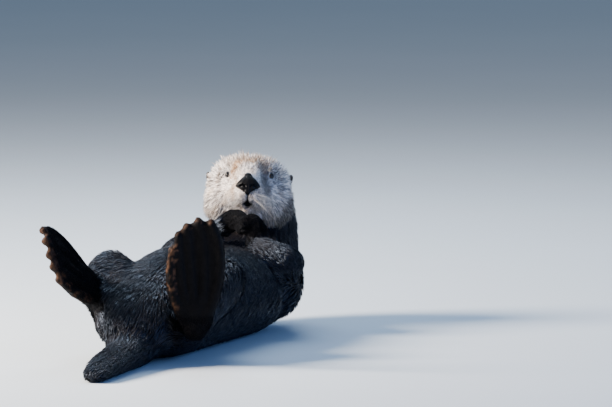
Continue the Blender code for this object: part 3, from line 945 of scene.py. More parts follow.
    def open_eye(self, local: Array, side: int) -> None:
        """Wrap two lids over one eyeball and leave the opening free.

        Args:
            local: Corners in the head's frame, which are changed.
            side: 1 for the left eye and -1 for the right.
        """
        out, across, up = Eye.axes(side)
        offset = local - np.array(self.bearings.pose.eye_at(side))
        high, wide, tall = offset @ out, offset @ across, offset @ up
        near = (np.linalg.norm(offset, axis=1) < 0.020) & (high > -0.006)
        radius = np.hypot(wide, tall)
        ring = np.hypot(wide / Eye.half_width, (tall - 0.0002) / Eye.half_height)
        ball = np.sqrt(np.maximum(Eye.radius ** 2 - np.minimum(radius, Eye.radius) ** 2, 0))
        lid = ball + 0.0003 * smooth_step(1.25, 1.6, ring) - 0.0003
        inside = ball - 0.0022
        goal = np.where(ring < 1.0, mixed(lid, inside, smooth_step(1.0, 0.80, ring)), lid)
        spread = 1 - smooth_step(0.0058, 0.0130, radius)
        moved = np.where(ring < 1.0, goal, np.maximum(high, mixed(high, goal, spread)))
        local += np.where(near, moved - high, 0.0)[:, None] * out

    def shape_feet(self) -> None:
        """Sink the web between the toes of the hind feet and round each toe's end."""
        for name, pose in FEET.items():
            mine, matrix = self.on_part(name), self.bearings.foot(name)
            spot = self.bearings.into(self.surface.places[mine], matrix)
            gap = np.min([distance_to_line(spot[:, :2], [
                tuple(pose.point(ray, t).xy) for t in (0.0, 0.2, 0.4, 0.6, 0.8, 0.96)])
                for ray in pose.rays()], axis=0)
            along = smooth_step(0.045, 0.085, spot[:, 1])
            sink = 0.0026 * along * smooth_step(0.0050, 0.0095, gap)
            middle = pose.cup * spot[:, 0] ** 2
            facing = np.clip((spot[:, 2] - middle) / 0.004, -1, 1)
            spot[:, 2] -= sink * facing
            pads = np.zeros(len(spot))
            for centre in (pose.point(ray, t) for ray in pose.rays() for t in (0.62, 0.95)):
                pads += np.exp(-((spot[:, 0] - centre.x) ** 2
                                 + (spot[:, 1] - centre.y) ** 2) / 0.0062 ** 2)
            spot[:, 2] += 0.0012 * pads * (facing > 0.3)
            self.surface.places[mine] = self.bearings.out_of(spot, matrix)

    def shape_paws(self) -> None:
        """Press shallow furrows between the toes of the mitten-like forepaws."""
        normals = self.surface.normals()
        for name in ("forepaw_left", "forepaw_right"):
            mine = self.on_part(name)
            line = self.bearings.line(STREAMS[name])
            places = self.surface.places[mine]
            across = unit(np.cross(flow_along(places, line), np.array([0.1, -1.0, 0.25])))
            offset = np.sum((places - np.array(line[2])) * across, axis=1)
            reach = smooth_step(0.014, 0.030, np.linalg.norm(places - np.array(line[0]), axis=1))
            furrow = 0.5 - 0.5 * np.cos(2 * np.pi * offset / 0.0085)
            depth = 0.0016 * reach * smooth_step(0.75, 1.0, furrow)
            self.surface.places[mine] = places - normals[mine] * depth[:, None]

    def store(self, fields: dict[str, Array]) -> None:
        """Keep the hair rules and colours on the skin's corners, and set its finishes.

        Args:
            fields: The arrays from hair_fields.
        """
        mesh = self.item.data
        for name in ("length", "width", "lift", "thick", "frost"):
            keep_layer(self.item, f"hair_{name}", fields[name])
        lie = mesh.attributes.new("hair_lie", "FLOAT_VECTOR", "POINT")
        lie.data.foreach_set("vector", fields["lie"].astype(np.float32).ravel())
        pelt = mesh.attributes.new("pelt", "FLOAT_COLOR", "POINT")
        rows = np.concatenate([fields["pelt"], np.ones((len(fields["pelt"]), 1))], axis=1)
        pelt.data.foreach_set("color", np.clip(rows, 0, 1).astype(np.float32).ravel())
        bare = (self.in_region(Region.HINDFOOT) + self.in_region(Region.FOREPAW)) > 0.5
        mesh.materials.clear()
        mesh.materials.append(UnderFur().build())
        mesh.materials.append(BareSkin().build())
        slots = [int(bare[list(face.vertices)].mean() > 0.5) for face in mesh.polygons]
        mesh.polygons.foreach_set("material_index", slots)


# ---------------------------------------------------------------- finishes

class Bench:
    """Lays nodes in a tree and joins them in one call each."""

    def __init__(self, tree: bpy.types.NodeTree) -> None:
        """Start on an empty tree."""
        self.tree = tree
        tree.nodes.clear()

    def add(self, kind: str, values: dict[int | str, Value] | None = None,
            **settings: Value) -> bpy.types.Node:
        """Add a node.

        Args:
            kind: The node's type.
            values: Constant or socket for each named or numbered input.
            **settings: The node's own settings.

        Returns:
            The new node.
        """
        node = self.tree.nodes.new(kind)
        row, place = divmod(len(self.tree.nodes), 12)
        node.location = (180 * place, -220 * row)
        for name, setting in settings.items():
            setattr(node, name, setting)
        for key, value in (values or {}).items():
            self.feed(node, key, value)
        return node

    def feed(self, node: bpy.types.Node, key: int | str, value: Value) -> None:
        """Give one input a constant or a link.

        Args:
            node: The node.
            key: The input's name or number.
            value: Constant, or the socket that feeds it.
        """
        socket = node.inputs[key] if isinstance(key, int) else next(
            s for s in node.inputs if s.name == key and s.enabled)
        if isinstance(value, Socket):
            self.tree.links.new(value, socket)
        else:
            socket.default_value = value

    def math(self, operation: str, *values: Value, clamp: bool = False) -> Socket:
        """Output of a Math node."""
        return self.add("ShaderNodeMath", dict(enumerate(values)), operation=operation,
                        use_clamp=clamp).outputs[0]

    def vector(self, operation: str, *values: Value) -> Socket:
        """Vector output of a Vector Math node, whose scale is its fourth input.

        Args:
            operation: The node's operation.
            *values: Constant or socket for each input.

        Returns:
            The vector.
        """
        keys = (0, 3) if operation == "SCALE" else range(len(values))
        return self.add("ShaderNodeVectorMath", dict(zip(keys, values)),
                        operation=operation).outputs[0]

    def blend(self, share: Value, first: Value, second: Value, mode: str = "MIX") -> Socket:
        """Colour output of a Mix node.

        Args:
            share: How much of the second colour.
            first: First colour.
            second: Second colour.
            mode: Blend mode.

        Returns:
            The mixed colour.
        """
        first, second = ((*v, 1.0) if isinstance(v, tuple) else v for v in (first, second))
        return self.add("ShaderNodeMix", {0: share, 6: first, 7: second},
                        data_type="RGBA", blend_type=mode).outputs[2]

    def spread(self, value: Value, low: float, high: float, start: float, end: float) -> Socket:
        """Map a value from one stretch to another.

        Args:
            value: The value.
            low: Value that gives the start.
            high: Value that gives the end.
            start: Result at or below low.
            end: Result at or above high.

        Returns:
            The mapped value.
        """
        return self.add("ShaderNodeMapRange", {
            "Value": value, "From Min": low, "From Max": high,
            "To Min": start, "To Max": end}).outputs[0]

    def noise(self, scale: float, detail: float = 3.0) -> Socket:
        """Noise of about 0.3 to 0.7 on the object's coordinates.

        Args:
            scale: Repeats per metre.
            detail: Octaves of the noise.

        Returns:
            The value.
        """
        return self.add("ShaderNodeTexNoise", {
            "Vector": self.coordinates(), "Scale": scale, "Detail": detail,
            "Roughness": 0.6}).outputs[0]

    def grain(self, scale: float, start: float, end: float, detail: float = 3.0) -> Socket:
        """Noise spread from a start to an end value; takes the scale and detail of noise."""
        return self.spread(self.noise(scale, detail), 0.3, 0.7, start, end)

    def cells(self, scale: float) -> Socket:
        """Distance pattern of small cells, with so many a metre."""
        return self.add("ShaderNodeTexVoronoi", {
            "Vector": self.coordinates(), "Scale": scale}).outputs[0]

    def coordinates(self) -> Socket:
        """The object's own coordinates, in metres."""
        return self.add("ShaderNodeTexCoord").outputs["Object"]

    def read(self, name: str, output: str = "Fac") -> Socket:
        """Output of an Attribute node that reads a stored layer."""
        return self.add("ShaderNodeAttribute", attribute_name=name).outputs[output]

    def darken(self, colour: Socket, level: Socket) -> Socket:
        """A colour times a grey of a given level."""
        grey = self.add("ShaderNodeCombineColor", {0: level, 1: level, 2: level}).outputs[0]
        return self.blend(1.0, colour, grey, "MULTIPLY")

    def bump(self, height: Socket, strength: float, depth: float) -> Socket:
        """Normals raised by a height pattern.

        Args:
            height: The pattern.
            strength: Share of the pattern that shows.
            depth: Height of a full step, in metres.

        Returns:
            The normals.
        """
        return self.add("ShaderNodeBump", {
            "Strength": strength, "Distance": depth, "Height": height}).outputs[0]

    def finish(self, **values: Value) -> None:
        """End a material in a shader and an output.

        Args:
            **values: Shader inputs, with underscores for spaces.
        """
        shader = self.add("ShaderNodeBsdfPrincipled",
                          {key.replace("_", " "): value for key, value in values.items()})
        out = self.add("ShaderNodeOutputMaterial")
        self.tree.links.new(shader.outputs[0], out.inputs[0])


@dataclass(frozen=True)
class Finish:
    """A procedural material; each kind lays its own nodes."""

    name: str = "plain"

    def build(self) -> bpy.types.Material:
        """Make the material.

        Returns:
            The new material.
        """
        material = bpy.data.materials.new(self.name)
        material.use_nodes = True
        self.lay(Bench(material.node_tree))
        return material

    def lay(self, bench: Bench) -> None:
        """Lay the nodes of this kind on a bench."""
        raise NotImplementedError


@dataclass(frozen=True)
class Fur(Finish):
    """Locks of hair: the skin's colour, darker at the root, partly the hair's own tone and partly
    painted shade between the locks, with each lock a little different.
    """

    roughness: float = 0.52
    root: float = 0.16
    spread: float = 0.52
    tip: Colour = (0.98, 0.92, 0.86)
    odd: Colour = (0.12, 0.080, 0.060)
    odd_share: float = 0.24
    specular: float = 0.40
    # Tint of the reflections; a blue one paints a sky reflection into the shine.
    painted_sky_tint: Colour = (1.0, 1.0, 1.0)

    def lay(self, bench: Bench) -> None:
        """Lay the nodes.

        Args:
            bench: Bench on the material's tree.
        """
        along, shade = bench.read("along"), bench.read("shade")
        pelt, frost = bench.read("pelt", "Color"), bench.read("hair_frost")
        level = bench.spread(
            bench.math("ADD", shade, bench.math("MULTIPLY", bench.noise(260.0, 2.0), 0.6)),
            0.2, 1.3, 1.0 - self.spread, 1.0 + self.spread)
        # Darker toward the root: partly the hair's own tone, partly painted shade in the gaps
        # between locks.
        ramp = bench.spread(along, 0.0, 0.60, self.root, 1.0)
        strange = bench.math("LESS_THAN", shade, self.odd_share)
        base = bench.blend(bench.math("MULTIPLY", strange, 0.6), pelt, self.odd)
        base = bench.darken(base, bench.math("MULTIPLY", level, ramp))
        chosen = bench.math("GREATER_THAN", shade, 0.62)
        reach = bench.math("MULTIPLY", bench.spread(along, 0.55, 1.0, 0.0, 1.0), chosen)
        share = bench.math("MULTIPLY", reach, frost, clamp=True)
        bench.finish(Base_Color=bench.blend(share, base, self.tip),
                     Roughness=bench.grain(120.0, self.roughness - 0.10, self.roughness + 0.10),
                     Normal=bench.bump(bench.noise(900.0, 2.0), 0.35, 0.0006),
                     Specular_IOR_Level=self.specular,
                     Specular_Tint=(*self.painted_sky_tint, 1.0))


@dataclass(frozen=True)
class UnderFur(Finish):
    """Dense wet undercoat that shows between the locks, darkened partly for its own tone and
    partly as painted shade under them.
    """

    name: str = "under_fur"

    def lay(self, bench: Bench) -> None:
        """Lay the nodes.

        Args:
            bench: Bench on the material's tree.
        """
        # Skin colour darkened: partly the undercoat's own tone, partly painted shade under the
        # locks.
        shade = bench.grain(180.0, 0.16, 0.50, 4.0)
        bench.finish(Base_Color=bench.darken(bench.read("pelt", "Color"), shade),
                     Roughness=0.62, Normal=bench.bump(bench.noise(700.0), 0.6, 0.0012))


@dataclass(frozen=True)
class BareSkin(Finish):
    """Leathery bare skin of the paws and the hind feet."""

    name: str = "bare_skin"

    def lay(self, bench: Bench) -> None:
        """Lay the nodes.

        Args:
            bench: Bench on the material's tree.
        """
        shade = bench.grain(140.0, 0.7, 1.35, 4.0)
        folds = bench.math("ADD", bench.math("MULTIPLY", bench.cells(620.0), 0.6),
                           bench.noise(260.0, 4.0))
        bench.finish(Base_Color=bench.darken(bench.read("pelt", "Color"), shade),
                     Roughness=bench.grain(90.0, 0.46, 0.62),
                     Normal=bench.bump(folds, 0.70, 0.0012), Specular_IOR_Level=0.05)


@dataclass(frozen=True)
class NoseLeather(Finish):
    """Black pebbled skin of the nose, moist and softly shining."""

    name: str = "nose_leather"
    colour: Colour = (0.0022, 0.0019, 0.0022)
    pale: Colour = (0.006, 0.0053, 0.006)
    specular: float = 0.13

    def lay(self, bench: Bench) -> None:
        """Lay the nodes.

        Args:
            bench: Bench on the material's tree.
        """
        bench.finish(Base_Color=bench.blend(bench.noise(150.0, 4.0), self.colour, self.pale),
                     Roughness=bench.grain(200.0, 0.30, 0.46),
                     Normal=bench.bump(bench.cells(900.0), 0.35, 0.0005),
                     Specular_IOR_Level=self.specular)


@dataclass(frozen=True)
class EyeGloss(Finish):
    """Wet dark eye: black pupil, deep brown ring and darker rim, under a clear coat."""

    name: str = "eye_gloss"
    pupil: Colour = (0.002, 0.002, 0.002)
    iris: Colour = (0.016, 0.007, 0.004)
    rim: Colour = (0.004, 0.003, 0.003)

    def lay(self, bench: Bench) -> None:
        """Lay the nodes.

        Args:
            bench: Bench on the material's tree.
        """
        ring = bench.read("ring")
        iris = bench.blend(bench.grain(1500.0, 0.0, 1.0, 2.0), self.iris, self.rim)
        base = bench.blend(bench.spread(ring, 0.30, 0.36, 0.0, 1.0), self.pupil, iris)
        base = bench.blend(bench.spread(ring, 0.50, 0.60, 0.0, 1.0), base, self.rim)
        bench.finish(Base_Color=base, Roughness=0.10, IOR=1.33, Coat_Weight=0.3,
                     Coat_Roughness=0.02)


@dataclass(frozen=True)
class EarSkin(Finish):
    """Dark skin inside the small ear with a browner furred edge."""

    name: str = "ear_skin"
    inner: Colour = (0.005, 0.004, 0.004)
    edge: Colour = (0.034, 0.025, 0.021)

    def lay(self, bench: Bench) -> None:
        """Lay the nodes.

        Args:
            bench: Bench on the material's tree.
        """
        worn = bench.math("MULTIPLY", bench.noise(400.0), 1.6, clamp=True)
        edge = bench.blend(worn, self.inner, self.edge)
        bench.finish(Base_Color=bench.blend(bench.read("hollow"), edge, self.inner),
                     Roughness=bench.grain(300.0, 0.6, 0.8), Specular_IOR_Level=0.06,
                     Normal=bench.bump(bench.noise(900.0), 0.5, 0.0006))


@dataclass(frozen=True)
class Horn(Finish):
    """Dark brown horn of the claws, a little paler at the point."""

    name: str = "claw_horn"
    root: Colour = (0.016, 0.011, 0.009)
    tip: Colour = (0.060, 0.045, 0.035)

    def lay(self, bench: Bench) -> None:
        """Lay the nodes.

        Args:
            bench: Bench on the material's tree.
        """
        bench.finish(Base_Color=bench.blend(bench.read("along"), self.root, self.tip),
                     Roughness=bench.spread(bench.noise(500.0), 0.0, 1.0, 0.25, 0.5),
                     Normal=bench.bump(bench.noise(1400.0), 0.3, 0.0003))


@dataclass(frozen=True)
class Bristle(Finish):
    """Pale stiff whisker, straw at its root."""

    name: str = "whisker_bristle"
    root: Colour = (0.42, 0.34, 0.26)
    tip: Colour = (0.86, 0.82, 0.76)

    def lay(self, bench: Bench) -> None:
        """Lay the nodes.

        Args:
            bench: Bench on the material's tree.
        """
        bench.finish(Base_Color=bench.blend(bench.read("along"), self.root, self.tip),
                     Roughness=bench.spread(bench.noise(300.0), 0.0, 1.0, 0.3, 0.5))


@dataclass(frozen=True)
class FloorPaint(Finish):
    """Pale matt paint of the floor."""

    name: str = "floor_paint"
    tones: tuple[Colour, Colour] = ((0.55, 0.60, 0.64), (0.59, 0.64, 0.68))

    def lay(self, bench: Bench) -> None:
        """Lay the nodes.

        Args:
            bench: Bench on the material's tree.
        """
        bench.finish(Base_Color=bench.blend(bench.noise(1.5, 2.0), *self.tones), Roughness=0.85)


# ---------------------------------------------------------------- eyes, nose, ears, claws

@dataclass
class Eye:
    """One eyeball with a slightly raised clear front."""

    side: int
    bearings: Bearings
    radius = 0.0075
    half_width = 0.0031
    half_height = 0.0051
    sides: int = 32
    rings: int = 18

    @staticmethod
    def outward(side: int) -> Vector:
        """Way the eye looks, in the head's frame."""
        return Vector((side * 0.37, -0.895, 0.235)).normalized()

    @staticmethod
    def axes(side: int) -> tuple[Array, Array, Array]:
        """Directions that the eye's own shape follows.

        Args:
            side: 1 for the left eye and -1 for the right.

        Returns:
            Its outward, sideways and upward directions, in the head's frame.
        """
        out = Eye.outward(side)
        across = out.cross(Vector((0.0, 0.0, 1.0))).normalized()
        return np.array(out), np.array(across), np.array(across.cross(out))

    def build(self) -> Piece:
        """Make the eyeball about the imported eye's centre.

        Returns:
            The eyeball, with each corner's share of the radius stored as ring.
        """
        name = f"eye_{dict(SIDES)[self.side]}"
        way = self.bearings.head.to_3x3() @ self.outward(self.side)
        turn = way.to_track_quat("Z", "Y").to_matrix().to_4x4()
        form = bmesh.new()
        bmesh.ops.create_uvsphere(form, u_segments=self.sides, v_segments=self.rings,
                                  radius=self.radius)
        ring = []
        for corner in form.verts:
            reach = math.hypot(corner.co.x, corner.co.y) / self.radius
            front = corner.co.z > 0
            corner.co.z += 0.0005 * max(0.0, 1 - (reach / 0.7) ** 2) * front
            ring.append(reach if front else 1.0)
        form.transform(Matrix.Translation(middle_of(name)) @ turn)
        item = from_form(f"{name}_ball", form)
        keep_layer(item, "ring", ring)
        item.data.materials.append(EyeGloss().build())
        return item


@dataclass
class Eyelids:
    """Smooth dark rims of the lids, one ring about each eye's opening."""

    bearings: Bearings
    steps: int = 48
    rows: tuple[tuple[float, float], ...] = (
        (0.92, -0.0003), (0.98, 0.00015), (1.07, 0.00042), (1.18, 0.00030), (1.36, -0.0010))

    def build(self) -> Piece:
        """Make both rims.

        Returns:
            The rims as one piece.
        """
        form = bmesh.new()
        turns = [2 * math.pi * step / self.steps for step in range(self.steps)]
        for side in (-1, 1):
            out, across, up = (Vector(axis) for axis in Eye.axes(side))
            middle = Vector(self.bearings.pose.eye_at(side))
            rings = []
            for reach, rise in self.rows:
                ring = []
                for angle in turns:
                    wide = Eye.half_width * reach * math.cos(angle)
                    tall = Eye.half_height * reach * math.sin(angle)
                    high = math.sqrt(max(Eye.radius ** 2 - wide ** 2 - tall ** 2, 0.0)) + rise
                    place = middle + out * high + across * wide + up * tall
                    ring.append(form.verts.new(self.bearings.head @ place))
                rings.append(ring)
            for low, high_ring in zip(rings, rings[1:] + rings[:1]):
                bridge(form, low, high_ring)
        item = from_form("eyelids", form)
        item.data.materials.append(NoseLeather("eyelid_skin", specular=0.10).build())
        return item


def bridge(form: bmesh.types.BMesh, low: list, high: list) -> None:
    """Join two rings of corners with four-sided faces.

    Args:
        form: The bmesh that they belong to.
        low: Corners of one ring, in order.
        high: As many corners of the next ring.
    """
    for k in range(len(low)):
        n = (k + 1) % len(low)
        form.faces.new((low[k], low[n], high[n], high[k]))


@dataclass
class NosePad:
    """Broad rounded nose pad with two comma-shaped nostrils and a middle groove."""

    bearings: Bearings
    voxel: float = 0.0009

    def build(self, node: Piece) -> Piece:
        """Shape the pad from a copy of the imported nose.

        Args:
            node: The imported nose.

        Returns:
            The pad.
        """
        item = even_copy([node], "nose_pad", self.voxel)
        surface = Surface(item)
        surface.relax(4)
        turned = surface.normals() @ np.array(self.bearings.head)[:3, :3]
        local = self.bearings.into(surface.places)
        middle = self.bearings.pose.nose
        x, z = local[:, 0] - middle[0], local[:, 2] - middle[2]
        front = smooth_step(0.1, 0.6, -turned[:, 1])
        for side in (-1, 1):
            slit = distance_to_line(np.stack([x, z], axis=1), [
                (side * 0.0052, -0.0045), (side * 0.0095, -0.0020), (side * 0.0150, -0.0052)])
            hole = 1 - smooth_step(0.0007, 0.0026, slit)
            local[:, 1] += 0.0034 * hole * front
            wing = np.exp(-((x - side * 0.0105) ** 2 + (z + 0.0098) ** 2) / 0.0042 ** 2)
            local[:, 1] -= 0.0010 * wing * front
        groove = np.exp(-(x / 0.0011) ** 2) * smooth_step(0.006, -0.004, z)
        local[:, 1] += 0.0007 * groove * front
        surface.places = self.bearings.out_of(local)
        surface.write()
        item.data.materials.append(NoseLeather().build())
        return item


@dataclass
class Ear:
    """Small thick ear, hollowed at its outer front."""

    side: int
    bearings: Bearings
    voxel: float = 0.0008

    def build(self, node: Piece) -> Piece:
        """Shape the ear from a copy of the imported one.

        Args:
            node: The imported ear.

        Returns:
            The ear.
        """
        item = even_copy([node], f"{node.name}_shell", self.voxel)
        surface = Surface(item)
        surface.relax(6)
        local = self.bearings.into(surface.places)
        high, low = local.max(axis=0), local.min(axis=0)
        offset = (local - (high + low) / 2) / ((high - low) / 2)
        outer = smooth_step(0.05, 0.55, 0.80 * self.side * offset[:, 0] - 0.45 * offset[:, 1])
        spread = np.hypot((offset[:, 1] + 0.20) / 0.66, (offset[:, 2] - 0.02) / 0.70)
        hollow = outer * (1 - smooth_step(0.40, 1.0, spread))
        local[:, 0] -= 0.0030 * self.side * hollow
        local[:, 1] += 0.0020 * hollow
        surface.places = self.bearings.out_of(local)
        surface.write()
        keep_layer(item, "hollow", np.clip(1.25 * hollow, 0, 1))
        item.data.materials.append(EarSkin().build())
        return item


class Tapered:
    """Bent tapering rods joined into one mesh, for claws and whiskers."""

    def __init__(self, sides: int) -> None:
        """Start with no rods.

        Args:
            sides: Faces round each rod.
        """
        self.sides = sides
        self.form = bmesh.new()
        self.along: list[float] = []

    def add(self, line: list[Vector], radii: list[float], flat: float = 1.0) -> None:
        """Add a rod that ends in a point.

        Args:
            line: Places of its middle line; the last is the point.
            radii: Radius at each place but the last.
            flat: Thickness across one side, as a share of the other.
        """
        rows = []
        for number, (place, radius) in enumerate(zip(line[:-1], radii)):
            way = (line[number + 1] - line[max(number - 1, 0)]).normalized()
            side = (side - way * side.dot(way) if number else way.orthogonal()).normalized()
            over = way.cross(side)
            rows.append([self.form.verts.new(
                place + side * math.cos(a) * radius + over * math.sin(a) * radius * flat)
                for a in (2 * math.pi * k / self.sides for k in range(self.sides))])
            self.along += [number / (len(line) - 1)] * self.sides
        point = self.form.verts.new(line[-1])
        self.along.append(1.0)
        for low, high in zip(rows, rows[1:]):
            bridge(self.form, low, high)
        for k in range(self.sides):
            self.form.faces.new((rows[-1][k], rows[-1][(k + 1) % self.sides], point))
        self.form.faces.new(list(reversed(rows[0])))

    def finish(self, name: str, finish: Finish) -> Piece:
        """Make the object.

        Args:
            name: Its name.
            finish: Its finish.

        Returns:
            The joined rods.
        """
        item = from_form(name, self.form)
        keep_layer(item, "along", self.along)
        item.data.materials.append(finish.build())
        return item


@dataclass
class Claws:
    """Short blunt claws at the ends of the hind toes."""

    bearings: Bearings
    length: float = 0.0080
    radius: float = 0.0021

    def build(self) -> Piece:
        """Make all ten claws.

        Returns:
            The claws as one piece.
        """
        rods = Tapered(10)
        shares = [step / 5 for step in range(6)]
        for name, pose in FEET.items():
            matrix = self.bearings.foot(name)
            for ray in pose.rays():
                tip = pose.point(ray, 1.0)
                way = (tip - pose.point(ray, 0.9)).normalized()
                start = tip + way * -0.0015 + Vector((0, 0, -0.0025))
                line = [matrix @ (start + way * self.length * share
                                  + Vector((0, 0, 0.0030 * share ** 2))) for share in shares]
                rods.add(line, [self.radius * (1 - share ** 1.6) for share in shares[:-1]], 0.75)
        return rods.finish("claws", Horn())


@dataclass
class Whiskers:
    """Stiff pale whiskers on the two pads and a few over each eye."""

    bearings: Bearings
    skin: Piece
    rows: int = 4
    in_row: int = 5
    length: float = 0.066
    radius: float = 0.00032
    seed: int = 5

    def build(self) -> Piece:
        """Make every whisker.

        Returns:
            The whiskers as one piece.
        """
        rng = np.random.default_rng(self.seed)
        rods = Tapered(4)
        for side in (-1, 1):
            for row in range(self.rows):
                for place in range(self.in_row):
                    out = 0.008 + 0.0030 * place
                    low = -0.0035 - 0.0042 * row - 0.0006 * place
                    root = (side * out + MID_X, -0.089 + 0.55 * (out - 0.008), low)
                    way = (side * (0.70 + 0.10 * place), -0.40 + 0.06 * place,
                           -0.14 - 0.13 * row + rng.normal(0, 0.13))
                    reach = self.length * (0.55 + 0.45 * place / self.in_row)
                    reach *= rng.uniform(0.50, 1.1)
                    self.add(rods, root, way, reach, rng.uniform(0.15, 0.45))
            for number in range(3):
                self.add(rods, (side * (0.034 + 0.003 * number), -0.062, 0.046),
                         (side * 0.35, -0.35, 0.8 - 0.15 * number), 0.020, 0.2)
        return rods.finish("whiskers", Bristle())

    def add(self, rods: Tapered, root: Colour, way: Colour, reach: float, droop: float) -> None:
        """Add one drooping whisker, with its root moved onto the skin.

        Args:
            rods: The joined rods.
            root: Where it grows, in the head's frame.
            way: Its direction.
            reach: Its length.
            droop: How far its end hangs, as a share of its length.
        """
        head, way = self.bearings.head, Vector(way).normalized()
        _, place, outward, _ = self.skin.closest_point_on_mesh(head @ Vector(root))
        start = head.inverted() @ (place - 0.0012 * outward)
        line = []
        for share in (step / 6 for step in range(7)):
            sag = Vector((0, 0.15 * reach * share ** 2, -droop * reach * share ** 2))
            line.append(head @ (start + way * reach * share + sag))
        rods.add(line, [self.radius * (1 - 0.85 * step / 6) for step in range(6)])


# ---------------------------------------------------------------- coat

@dataclass(frozen=True)
class Lock:
    """One pointed lock of hair of length 1 and width 1, lying along +Y on a plane."""

    widths: tuple[float, ...]
    places: tuple[float, ...]
    sway: float
    ridge: float
    patch: float = 0.0030

    def aside(self, t: float) -> float:
        """Sideways place of the middle line at a share of the length."""
        return (self.sway * math.sin(math.pi * t) * 0.5 + self.sway * t * t) * 4.0

    def build(self, name: str) -> Piece:
        """Make the lock, with its own patch places and its share along stored.

        Args:
            name: Name of the lock.

        Returns:
            The lock object, in no scene.
        """
        corners, along, patch, faces = [], [], [], []
        for t, width in zip(self.places, self.widths):
            for x, z in ((-0.5 * width, 0.0), (0.5 * width, 0.0), (0.0, self.ridge * width)):
                corners.append((x + self.aside(t), t, z))
                along.append(t)
                patch += [x * self.patch * 0.8, (t - 0.5) * self.patch, 0.0]
        corners.append((self.aside(1.0), 1.0, 0.0))
        along.append(1.0)
        patch += [0.0, 0.5 * self.patch, 0.0]
        last, tip = 3 * len(self.places) - 3, len(corners) - 1
        for a in range(0, last, 3):
            for k in range(3):
                n = (k + 1) % 3
                faces.append((a + k, a + n, a + 3 + n, a + 3 + k))
        faces += [(last + k, last + (k + 1) % 3, tip) for k in range(3)]
        faces.append((2, 1, 0))
        mesh = bpy.data.meshes.new(name)
        mesh.from_pydata(corners, [], faces)
        form = bmesh.new()
        form.from_mesh(mesh)
        into_mesh(form, mesh)
        item = bpy.data.objects.new(name, mesh)
        keep_layer(item, "along", along)
        layer = mesh.attributes.new("patch", "FLOAT_VECTOR", "POINT")
        layer.data.foreach_set("vector", patch)
        return item


class LockStyle(Enum):
    """Sets of locks to choose among on one area."""

    WET = "wet"
    SPIKY = "spiky"
    FINE = "fine"

    def locks(self) -> list[Lock]:
        """Shapes to choose among.

        Returns:
            The locks of this set.
        """
        if self is LockStyle.WET:
            return [Lock((0.5, 1.0, 0.6), (0.0, 0.30, 0.70), sway, 0.34)
                    for sway in (-0.11, -0.05, 0.0, 0.04, 0.10)]
        if self is LockStyle.SPIKY:
            return [Lock((1.0, 0.62), (0.0, 0.55), sway, 0.60)
                    for sway in (-0.10, -0.03, 0.03, 0.10)]
        return [Lock((1.0, 0.75), (0.0, 0.50), sway, 0.50) for sway in (-0.08, 0.0, 0.08)]


